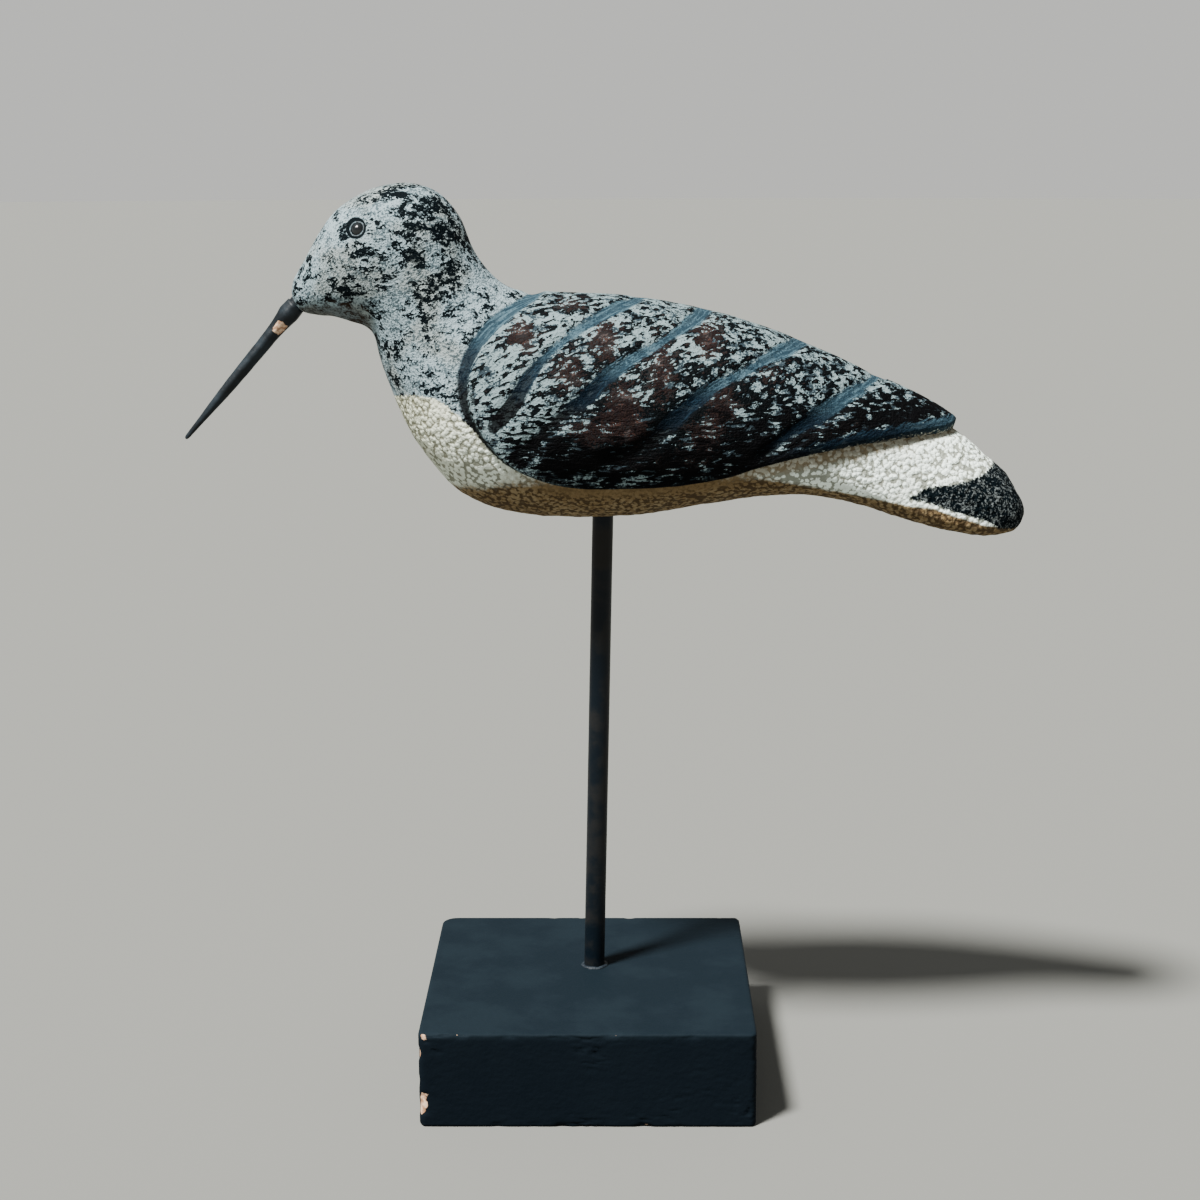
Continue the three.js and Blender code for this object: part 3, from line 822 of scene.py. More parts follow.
def start_piece(name: str, add: "callable", **sizes: object) -> bpy.types.Object:
    """Add a primitive with nothing else selected.

    Args:
        name: The piece's name.
        add: The operator that adds the primitive.
        **sizes: The operator's own settings.

    Returns:
        The new object, selected and active.
    """
    bpy.ops.object.select_all(action="DESELECT")
    add(**sizes)
    piece = bpy.context.active_object
    piece.name = name
    piece.data.name = name
    return piece


def read_points(piece: bpy.types.Object) -> np.ndarray:
    """Read a piece's vertices in millimetres."""
    flat = np.empty(len(piece.data.vertices) * 3)
    piece.data.vertices.foreach_get("co", flat)
    return flat.reshape(-1, 3) / METRES


def write_points(piece: bpy.types.Object, points: np.ndarray) -> None:
    """Write a piece's vertices from millimetres."""
    piece.data.vertices.foreach_set("co", (points * METRES).ravel())
    piece.data.update()


def outward(piece: bpy.types.Object) -> None:
    """Turn a closed piece's faces outwards and smooth them."""
    bpy.ops.object.select_all(action="DESELECT")
    piece.select_set(True)
    bpy.context.view_layer.objects.active = piece
    bpy.ops.object.mode_set(mode="EDIT")
    bpy.ops.mesh.select_all(action="SELECT")
    bpy.ops.mesh.normals_make_consistent(inside=False)
    bpy.ops.object.mode_set(mode="OBJECT")
    bpy.ops.object.shade_smooth()


def turned(name: str, profile: list[tuple[float, float]], sides: int) -> bpy.types.Object:
    """Make a round stick along Z by extruding a disc ring by ring.

    Args:
        name: The piece's name.
        profile: Rows of height and radius, in millimetres.
        sides: How many sides the stick has.

    Returns:
        The closed stick.
    """
    first_height, first_radius = profile[0]
    piece = start_piece(name, bpy.ops.mesh.primitive_circle_add, vertices=sides, radius=first_radius * METRES,
                        fill_type="TRIFAN", location=(0, 0, first_height * METRES))
    bpy.ops.object.transform_apply(location=True, rotation=True, scale=True)
    bpy.ops.object.mode_set(mode="EDIT")
    bpy.ops.mesh.select_all(action="SELECT")
    for (height, radius), (next_height, next_radius) in zip(profile, profile[1:]):
        move = (0, 0, (next_height - height) * METRES)
        bpy.ops.mesh.extrude_region_move(TRANSFORM_OT_translate={"value": move})
        ratio = next_radius / radius
        centre = (0, 0, next_height * METRES)
        bpy.ops.transform.resize(value=(ratio, ratio, 1), center_override=centre)
    bpy.ops.object.mode_set(mode="OBJECT")
    outward(piece)
    return piece


def carry(piece: bpy.types.Object, material: bpy.types.Material, nodes: list[str]) -> None:
    """Dress a finished piece and put it on the frame.

    Args:
        piece: The piece.
        material: Its finish.
        nodes: The solids that it stands for.
    """
    piece.data.materials.clear()
    piece.data.materials.append(material)
    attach(piece, BODY)
    if nodes:
        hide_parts(*nodes)
    LOG.info("%s: %d faces", piece.name, len(piece.data.polygons))


def ripple(points: np.ndarray, grain: float, seed: float) -> np.ndarray:
    """Give a gentle random height at each point.

    Args:
        points: The points, in millimetres.
        grain: The size of the bumps, in millimetres.
        seed: A shift that makes one ripple differ from another.

    Returns:
        Heights from about -1 to 1.
    """
    scaled = points / grain + seed
    return np.array([noise.noise(Vector(point)) for point in scaled])


# Finishes


@dataclass(frozen=True)
class BirdPaint:
    """Dabbed feather paint over chalky white, as an old hand-painted decoy has."""

    pale: Colour = paint_colour(136, 154, 160)
    pale_warm: Colour = paint_colour(132, 138, 134)
    middle: Colour = paint_colour(40, 55, 61)
    dark: Colour = paint_colour(3, 10, 14)
    wing_light: Colour = paint_colour(112, 129, 132)
    wing_middle: Colour = paint_colour(40, 51, 57)
    wing_dark: Colour = paint_colour(3, 6, 8)
    # Painted light: the lighter blues of the wash high on the shoulder, where the light falls.
    lit_navy: Colour = paint_colour(30, 48, 58)
    lit_navy_pale: Colour = paint_colour(62, 84, 94)
    navy: Colour = paint_colour(5, 15, 24)
    navy_worn: Colour = paint_colour(20, 38, 50)
    # Near black for the lower and rear wing: partly its dark paint, partly painted shade where the wing turns down
    # from the light.
    black_and_painted_shade: Colour = paint_colour(2, 2, 3)
    red: Colour = paint_colour(36, 15, 11)
    red_worn: Colour = paint_colour(62, 42, 34)
    brown: Colour = paint_colour(50, 39, 27)
    cream: Colour = paint_colour(190, 193, 170)
    white: Colour = paint_colour(242, 255, 246)
    tan: Colour = paint_colour(114, 95, 66)
    tan_pale: Colour = paint_colour(142, 126, 96)
    grime: Colour = paint_colour(92, 90, 72)
    fleck: Colour = paint_colour(92, 98, 98)

    def material(self) -> bpy.types.Material:
        """Mix the bird's paint.

        Returns:
            The material.
        """
        mix = Recipe("feather_paint")
        wing, white, patch = mix.attribute("wing"), mix.attribute("white"), mix.attribute("patch")
        ragged = mix.grain(0.9, 2.0, 0.6) - 0.5
        fine = mix.grain(0.62, 2.0, 0.6)
        on_wing = mix.ease(wing + ragged * 3.0, -0.5, 1.5)
        below = mix.ease(white + ragged * 2.2, -0.3, 0.4)
        head, head_height = self.head(mix, fine)
        feathers, wing_height = self.wing(mix, fine)
        colour = mix.blend(on_wing, head, feathers)
        colour = self.bands(mix, colour, ragged)
        chalk, chalk_height = self.chalk(mix)
        colour = mix.blend(below, colour, chalk)
        mottled = mix.grain(1.5, 3.0, 0.7)
        tail_dark = mix.blend(mix.ease(mottled * 0.5 + fine * 0.5, 0.52, 0.57) * 0.8, self.dark, self.fleck)
        colour = mix.blend(mix.ease(patch + ragged * 2.2, -0.3, 0.4), colour, tail_dark)
        height = wing_height * on_wing + head_height * (1.0 - on_wing)
        height = chalk_height * below + height * (1.0 - below)
        return mix.finish(colour, 0.68 + below * 0.2, height, 0.0011, {"Specular IOR Level": 0.04})

    def head(self, mix: Recipe, fine: Signal) -> tuple[bpy.types.NodeSocket, Signal]:
        """Dab the head and neck: pale scumble, middle veins and ragged dark blotches.

        Args:
            mix: The recipe.
            fine: The finest brush marks.

        Returns:
            The colour and the height of the paint.
        """
        tone = mix.attribute("tone")
        clouds = mix.grain((8.0, 6.0, 6.0), 3.0, 0.6, 0.3)
        dabs = mix.grain((2.9, 2.2, 2.0), 3.0, 0.6, 0.5, 12.0)
        level = clouds * 0.42 + dabs * 0.4 + fine * 0.18 + tone * 0.14
        veins = mix.ease(dabs * 0.45 + fine * 0.55 + tone * 0.1, 0.47, 0.53)
        dark = mix.ease(level, 0.512, 0.532)
        warm = mix.ease(mix.grain(14.0, 2.0), 0.45, 0.6)
        ground = mix.blend(warm * 0.7, self.pale, self.pale_warm)
        colour = mix.blend(veins * 0.8, ground, self.middle)
        colour = mix.blend(dark, colour, self.dark)
        flecks = mix.ease(mix.grain((1.5, 1.0, 0.8), 2.0, 0.6), 0.58, 0.62) * (1.0 - dark * 0.55)
        colour = mix.blend(flecks * 0.8, colour, ground)
        colour = mix.blend(mix.ease(mix.attribute("eye") + (fine - 0.5) * 0.6, 3.3, 3.0), colour, self.dark)
        # Painted shade: brown where the head and neck turn down from the light.
        chin_shade = mix.ease(mix.attribute("chin_shade") + (dabs - 0.5) * 1.5, 0.3, 0.7)
        return mix.blend(chin_shade * 0.6, colour, self.brown), dabs * 0.5 + fine * 0.5

    def wing(self, mix: Recipe, fine: Signal) -> tuple[bpy.types.NodeSocket, Signal]:
        """Dash the wing: pale ground, tilted dark ticks and rusty spots.

        Args:
            mix: The recipe.
            fine: The finest brush marks.

        Returns:
            The colour and the height of the paint.
        """
        tone, low, red = mix.attribute("tone"), mix.attribute("low"), mix.attribute("red")
        cluster = mix.attribute("cluster") & 1.0
        mottle = mix.grain((4.6, 3.4, 3.4), 4.0, 0.62, 0.2, 20.0)
        ticks = mix.grain((3.0, 1.7, 1.25), 2.5, 0.55, 0.4, 24.0)
        flat_ticks = mix.grain((4.4, 1.6, 1.0), 2.5, 0.55, 0.5, 3.0)
        strokes = ticks * (1.0 - low) + flat_ticks * low
        shaded = mottle * 0.6 + fine * 0.4 + tone * 0.16 + cluster * 0.03
        ground = mix.blend(mix.ease(shaded, 0.505, 0.565), self.wing_light, self.wing_middle)
        crowded = strokes + (mottle - 0.5) * 0.45 + cluster * 0.075 + tone * 0.2
        dark = mix.ease(crowded, 0.535, 0.56)
        spotted = mix.ease(red + (strokes - 0.5) * 2.6 + (fine - 0.5) * 1.4, 0.5, 0.62)
        rust = mix.blend(mix.ease(fine, 0.5, 0.6) * 0.75, self.red, self.red_worn)
        colour = mix.blend(spotted * 0.9, ground, rust)
        colour = mix.blend(dark * (1.0 - spotted * 0.35), colour, self.wing_dark)
        # Partly dark paint and partly painted shade: the lower and rear fields go nearly black where the wing turns
        # down from the light.
        black_and_painted_shade = mix.ease(tone + (mottle - 0.5) * 0.9 + (flat_ticks - 0.5) * 0.8, 0.34, 0.5)
        return mix.blend(black_and_painted_shade * 0.92, colour, self.black_and_painted_shade), strokes * 0.6 + fine * 0.4

    def bands(self, mix: Recipe, under: bpy.types.NodeSocket, ragged: Signal) -> bpy.types.NodeSocket:
        """Wash the flutes and the wing's edge: hazy blue at the shoulder, navy further down and black at the bottom, a
        painted light that is lighter high up where the light falls and darker low down where the wing turns from it.

        Args:
            mix: The recipe.
            under: The paint that shows beside the bands.
            ragged: Small unevenness about 0.

        Returns:
            The colour.
        """
        wing, reach = mix.attribute("wing"), mix.attribute("reach")
        brushed = mix.streaks("groove", (9.0, 0.75, 30.0))
        # Painted light: the wash darkens with depth down the wing, from lit blue at the shoulder to navy and then
        # black low down.
        depth = mix.attribute("depth") + (brushed - 0.5) * 0.5
        lit_navy = mix.blend(mix.ease(brushed + ragged * 0.3, 0.47, 0.6), self.lit_navy, self.lit_navy_pale)
        navy = mix.blend(mix.ease(brushed + ragged * 0.2, 0.5, 0.66) * 0.8, self.navy, self.navy_worn)
        wash = mix.blend(mix.ease(depth, 0.35, 0.65), lit_navy, navy)
        wash = mix.blend(mix.ease(depth, 0.85, 1.1), wash, self.black_and_painted_shade)
        gouge = mix.ease(mix.attribute("flute") + (brushed - 0.5) * 3.0 + ragged * 2.0, -0.5, 0.6)
        width = mix.ease(reach, 0.45, 0.0) * 3.0 + mix.ease(reach, 0.5, 0.9) * 1.6 + 1.5
        band = mix.ease(width - wing + (brushed - 0.5) * 5.0 + ragged * 2.0, -0.2, 0.9) * mix.ease(wing, -1.4, -0.3)
        share = (gouge * mix.ease(wing, 0.0, 1.0)) | band
        colour = mix.blend(share * 0.95, under, wash)
        # Painted highlight: the crest of the wing's edge is lightened where it catches the light.
        rubbed = mix.attribute("crest") * mix.ease(ragged + 0.5, 0.5, 0.58) * 0.7
        return mix.blend(rubbed, colour, self.wing_light)

    def chalk(self, mix: Recipe) -> tuple[bpy.types.NodeSocket, Signal]:
        """Lay the thick chalky white, grimy in its pits, tan underneath from dirt and painted shade, with a painted
        shadow and dust under the wing's edge.

        Args:
            mix: The recipe.

        Returns:
            The colour and the height of the paint.
        """
        wing, reach = mix.attribute("wing"), mix.attribute("reach")
        blotch = mix.grain(11.0, 4.0, 0.6)
        stipple = mix.grain(1.25, 3.0, 0.6)
        grains = mix.lumps(1.5)
        height = (0.75 - grains) * 0.55 + stipple * 0.6
        colour = mix.blend(mix.ease(mix.attribute("along"), 60.0, 130.0), self.cream, self.white)
        pitted = mix.ease(height + (blotch - 0.5) * 0.5, 0.43, 0.34)
        colour = mix.blend(pitted * 0.8, colour, self.grime)
        colour = mix.blend(mix.ease(blotch, 0.5, 0.75) * 0.3, colour, self.tan)
        # Underside: dirt and painted shade, tan and brown where the body turns down from the light.
        under = mix.attribute("under") + (blotch - 0.5) * 0.9 + (stipple - 0.5) * 0.6
        underside_dirt_and_shade = mix.blend(mix.ease(stipple * 0.6 + blotch * 0.4, 0.46, 0.6) * 0.7, self.tan, self.tan_pale)
        underside_dirt_and_shade = mix.blend(mix.ease(height, 0.5, 0.36) * 0.8, underside_dirt_and_shade, self.brown)
        colour = mix.blend(mix.ease(under, -0.35, 0.2), colour, underside_dirt_and_shade)
        # Painted shadow with some dust: a tan strip on the white just below the wing's overhanging lower edge.
        reached = mix.ease(wing, -3.4 - mix.ease(mix.attribute("along"), 235.0, 200.0) * 6.0, -0.2)
        shadow_and_dust_below_wing = reached * mix.ease(wing, 0.6, 0.1) * mix.ease(reach, 0.35, 0.6)
        colour = mix.blend(mix.ease(shadow_and_dust_below_wing + (stipple - 0.5) * 1.2, 0.2, 0.9) * 0.75, colour, self.tan)
        return colour, height


@dataclass(frozen=True)
class BlackPaint:
    """Old black paint with a cool grey bloom, rubbed and dusty."""

    name: str
    base: Colour
    rubbed: tuple[float, float, float, float]
    rough: float
    grain: float
    depth: float
    gloss: float = 0.25
    # Painted shade: a darker blue-black for faces that a piece marks as turned from the overhead light, such as the
    # block's sides and front.
    shade: tuple[float, float, float, float] = paint_colour(4, 10, 17)

    def material(self) -> bpy.types.Material:
        """Mix the paint.

        Returns:
            The material.
        """
        mix = Recipe(self.name)
        cloud = mix.grain(self.grain, 4.0, 0.6)
        grit = mix.grain(self.grain / 9.0, 2.0, 0.6)
        worn, bare = mix.attribute("worn"), mix.attribute("bare")
        colour = mix.blend(mix.ease(cloud, 0.4, 0.65) * 0.6, self.base, self.rubbed)
        # Painted shade: the darker colour where the mesh's shade share marks faces turned from the overhead light.
        colour = mix.blend(mix.attribute("shade") * 0.75, colour, self.shade)
        colour = mix.blend(mix.ease(worn + (grit - 0.5) * 0.6, 0.35, 0.75) * 0.8, colour, self.rubbed)
        wood = mix.blend(mix.ease(grit, 0.42, 0.6), paint_colour(150, 112, 84), paint_colour(206, 176, 148))
        colour = mix.blend(mix.ease(bare + (grit - 0.5) * 0.8, 0.45, 0.6), colour, wood)
        rough = self.rough + (cloud - 0.5) * 0.3 + worn * 0.1
        return mix.finish(colour, rough, grit * 0.6 + cloud * 0.4, self.depth, {"Specular IOR Level": self.gloss})


# Pieces


@dataclass
class Bird:
    """The carved and painted bird."""

    skin: Skin
    carving: Carving
    rings: int = 400
    segments: int = 248
    edge_row: int = 75
    crowding: float = 0.2
    edge_crowding: float = 1.35
    smallest_turn: float = 0.05

    def build(self) -> bpy.types.Object:
        """Carve the bird from a sphere.

        Returns:
            The finished bird.
        """
        piece = start_piece("carved_bird", bpy.ops.mesh.primitive_uv_sphere_add, segments=self.segments,
                            ring_count=self.rings, radius=1.0)
        ball = read_points(piece) * METRES
        ring = np.rint(np.arccos(np.clip(ball[:, 2], -1.0, 1.0)) / np.pi * self.rings).astype(int)
        turn = np.rint(np.arctan2(ball[:, 1], ball[:, 0]) / (2 * np.pi) * self.segments).astype(int)
        turn %= self.segments
        left = turn <= self.segments // 2
        row = np.where(left, turn, self.segments - turn)
        along, around = self.lattice()
        plain = self.skin.points(along, around)
        normal, crosswise = self.skin.frames(along, around)
        facts = self.carving.measure(plain, normal)
        carved = plain + normal * facts["height"][:, None] + crosswise * facts["overhang"][:, None]
        rows = self.segments // 2 + 1
        place = ring * rows + row
        points, outwards = carved[place], normal[place]
        points[~left, 1] = 2 * MID_PLANE - points[~left, 1]
        outwards[~left, 1] *= -1
        poles = (ring == 0) | (ring == self.rings)
        ends = self.skin.sections_at(np.array([0.0, self.skin.length]))
        middles = (ends[:, 0:2] + ends[:, 2:4]) / 2
        points[ring == 0] = (middles[0, 0], MID_PLANE, middles[0, 1])
        points[ring == self.rings] = (middles[1, 0], MID_PLANE, middles[1, 1])
        facts = {name: values[place] for name, values in facts.items()}
        facts["along"] = along[place]
        points += outwards * np.where(poles, 0.0, self.roughness(points, facts))[:, None]
        write_points(piece, points)
        self.note(piece, facts, points, plain[place])
        outward(piece)
        return piece

    def lattice(self) -> tuple[np.ndarray, np.ndarray]:
        """Lay out rings and rows so that one row follows the wing's lower edge.

        Returns:
            The place along and the turn around of every crossing, ring by ring.
        """
        share = np.arange(self.rings + 1) / self.rings
        along = self.skin.length * (share - self.crowding * np.sin(2 * np.pi * share) / (2 * np.pi))
        edge = self.carving.wing_edge
        front = int(np.argmin(edge.flat[:, 0]))
        edge_turn = np.interp(along, edge.along[front:], edge.around[front:])
        edge_turn = np.maximum(edge_turn, self.smallest_turn)[:, None]
        rows = np.arange(self.segments // 2 + 1)[None, :]
        above = 1.0 - (1.0 - np.clip(rows / self.edge_row, 0, 1)) ** self.edge_crowding
        below = np.clip((rows - self.edge_row) / (self.segments // 2 - self.edge_row), 0, 1) ** self.edge_crowding
        around = np.where(rows <= self.edge_row, edge_turn * above, edge_turn + (0.5 - edge_turn) * below)
        return np.repeat(along, rows.size), around.ravel()

    def roughness(self, points: np.ndarray, facts: dict[str, np.ndarray]) -> np.ndarray:
        """Give the hand-made unevenness of wood and thick paint.

        Args:
            points: The carved points.
            facts: What the carving says of them.

        Returns:
            How far each point moves out, in millimetres.
        """
        chalky = smooth_step(facts["white"], 0.0, 2.0)
        uneven = 0.22 * ripple(points, 13.0, 3.1) + 0.1 * ripple(points, 5.0, 17.7)
        crust = 0.15 * ripple(points, 2.8, 41.3) + 0.09 * ripple(points, 1.6, 8.2)
        return uneven + crust * (0.3 + 0.9 * chalky)

    def note(self, piece: bpy.types.Object, facts: dict[str, np.ndarray], points: np.ndarray,
             plain: np.ndarray) -> None:
        """Write what the paint needs onto the mesh.

        Args:
            piece: The bird.
            facts: One value for each vertex by name.
            points: The finished points.
            plain: The same points on the plain left side; not used.
        """
        for name in ("wing", "reach", "crest", "depth", "flute", "white", "patch", "under", "tone", "red", "along",
                     "chin_shade", "low", "cluster", "eye"):
            layer = piece.data.attributes.new(name, "FLOAT", "POINT")
            layer.data.foreach_set("value", facts[name])
        side = np.where(points[:, 1] > MID_PLANE, 40.0, 0.0)
        fields = {
            "groove": np.stack([facts["groove_gone"], facts["groove_side"], side], axis=1),
        }
        for name, vectors in fields.items():
            layer = piece.data.attributes.new(name, "FLOAT_VECTOR", "POINT")
            layer.data.foreach_set("vector", vectors.ravel())


@dataclass
class Bill:
    """The long whittled bill with its thick collar."""

    root_x: float = -87.3
    root_z: float = 238.6
    droop: float = 49.1
    tenon: float = 6.0
    tenon_radius: float = 2.6
    step: float = 0.7
    sides: int = 40

    def profile(self) -> list[tuple[float, float]]:
        """Resample the whittled outline finely.

        Returns:
            Rows of distance from the snout and radius.
        """
        coarse = np.array([
            (0, 2.9), (3.4, 3.15), (5.4, 2.8), (8.5, 2.42), (12, 2.18), (18, 2.08), (26, 1.91), (34, 1.66),
            (40, 1.35), (45, 1.02), (52.4, 0.7),
        ])
        places = np.arange(0.0, 52.4, self.step)
        radii = np.interp(places, coarse[:, 0], coarse[:, 1])
        radii = np.convolve(np.pad(radii, 1, mode="edge"), [0.25, 0.5, 0.25], mode="valid")
        body = [(float(p), float(r)) for p, r in zip(places, radii)]
        tip = [(52.4, 0.66), (52.9, 0.5), (53.2, 0.25)]
        return [(-self.tenon, self.tenon_radius), (-0.05, self.tenon_radius), *body, *tip]

    def build(self) -> bpy.types.Object:
        """Turn, whittle and lean the bill.

        Returns:
            The finished bill.
        """
        piece = turned("whittled_bill", self.profile(), self.sides)
        points = read_points(piece)
        angle = np.arctan2(points[:, 1], points[:, 0])
        gone = points[:, 2]
        flats = 0.035 * np.cos(5 * angle + gone * 0.06) + 0.02 * np.cos(3 * angle - gone * 0.11)
        uneven = 1.0 + flats + 0.03 * ripple(points, 4.0, 5.5) + 0.02 * ripple(points, 1.5, 9.5)
        chip = np.exp(-(((gone - 8.2) / 2.2) ** 4)) * smooth_step(np.cos(angle + 1.9), 0.5, 0.9)
        shape = np.where(gone > 0.0, uneven - 0.12 * chip, 1.0)
        points[:, 0] *= shape
        points[:, 1] *= shape
        lean = math.radians(-90.0 - self.droop)
        turned_x = points[:, 0] * math.cos(lean) + points[:, 2] * math.sin(lean)
        turned_z = -points[:, 0] * math.sin(lean) + points[:, 2] * math.cos(lean)
        points = np.stack([self.root_x + turned_x, MID_PLANE + points[:, 1], self.root_z + turned_z], axis=1)
        write_points(piece, points)
        for name, values in {"worn": smooth_step(-gone, -40.0, -10.0) * 0.3, "bare": chip}.items():
            layer = piece.data.attributes.new(name, "FLOAT", "POINT")
            layer.data.foreach_set("value", values)
        outward(piece)
        return piece


@dataclass
class Eye:
    """A black bead set into the head, with the painted rim around it."""

    skin: Skin
    side: Side
    x: float = -66.9
    z: float = 261.7
    radius: float = 2.0
    proud: float = 1.0
    rim_radius: float = 2.15
    rim_thickness: float = 0.3

    def frame(self) -> tuple[np.ndarray, np.ndarray]:
        """Find where the eye sits.

        Returns:
            The bead's centre and the outward direction.
        """
        along, around = self.skin.seen(np.array([(self.x, self.z)]))
        normal, _ = self.skin.frames(along, around)
        point = self.skin.points(along, around)[0]
        centre = point + normal[0] * (self.proud - self.radius)
        outwards = normal[0].copy()
        centre[1] = MID_PLANE + self.side.value * abs(centre[1] - MID_PLANE)
        outwards[1] = self.side.value * abs(outwards[1])
        return centre, outwards

    def settle(self, piece: bpy.types.Object, points: np.ndarray, lift: float) -> None:
        """Turn points that face +Z to the eye's direction and put them in place.

        Args:
            piece: The piece that they belong to.
            points: Its points about the bead's centre.
            lift: How far out they move.
        """
        centre, outwards = self.frame()
        turn = Vector((0, 0, 1)).rotation_difference(Vector(outwards)).to_matrix()
        write_points(piece, points @ np.array(turn).T + centre + outwards * lift)
        outward(piece)

    def bead(self) -> bpy.types.Object:
        """Make the glass bead.

        Returns:
            The bead.
        """
        piece = start_piece(f"eye_bead_{self.side.name.lower()}", bpy.ops.mesh.primitive_uv_sphere_add,
                            segments=48, ring_count=32, radius=self.radius * METRES)
        points = read_points(piece)
        points[:, 2] *= np.where(points[:, 2] > 0, 0.92, 1.0)
        self.settle(piece, points, 0.0)
        return piece

    def rim(self) -> bpy.types.Object:
        """Make the lumpy ring of paint around the bead.

        Returns:
            The rim.
        """
        piece = start_piece(f"eye_rim_{self.side.name.lower()}", bpy.ops.mesh.primitive_torus_add,
                            major_segments=72, minor_segments=14, major_radius=self.rim_radius * METRES,
                            minor_radius=self.rim_thickness * METRES)
        points = read_points(piece)
        points *= 1.0 + 0.05 * ripple(points, 1.3, 2.0 + self.side.value)[:, None]
        self.settle(piece, points, 0.72)
        return piece


@dataclass
class Rod:
    """The steel rod that carries the bird."""

    foot_x: float = 1.5
    foot_z: float = 29.4
    lean: float = 1.2
    radius: float = 3.2
    depth_in_block: float = 11.5
    depth_in_bird: float = 17.0
    chamfer: float = 0.5
    belly: float = 174.8
    step: float = 2.4
    sides: int = 48

    def build(self) -> bpy.types.Object:
        """Turn the rod and lean it.

        Returns:
            The rod.
        """
        top = (self.belly - self.foot_z) / math.cos(math.radians(self.lean)) + self.depth_in_bird
        low, high = -self.depth_in_block + self.chamfer, top - self.chamfer
        heights = np.linspace(low, high, int((high - low) / self.step))
        profile = [(-self.depth_in_block, self.radius - self.chamfer)]
        profile += [(float(h), self.radius) for h in heights] + [(top, self.radius - self.chamfer)]
        piece = turned("steel_rod", profile, self.sides)
        points = read_points(piece)
        points[:, :2] *= 1.0 + 0.006 * ripple(points, 7.0, 1.0)[:, None]
        lean = math.radians(self.lean)
        height = points[:, 2].copy()
        x = self.foot_x + points[:, 0] * math.cos(lean) + height * math.sin(lean)
        z = self.foot_z - points[:, 0] * math.sin(lean) + height * math.cos(lean)
        write_points(piece, np.stack([x, MID_PLANE + points[:, 1], z], axis=1))
        below_belly = top - self.depth_in_bird - height
        scuff = smooth_step(below_belly, 3.0, 5.0) * (1.0 - smooth_step(below_belly, 13.0, 20.0))
        for name, values in {"worn": scuff, "bare": np.zeros(len(scuff))}.items():
            layer = piece.data.attributes.new(name, "FLOAT", "POINT")
            layer.data.foreach_set("value", values)
        outward(piece)
        return piece


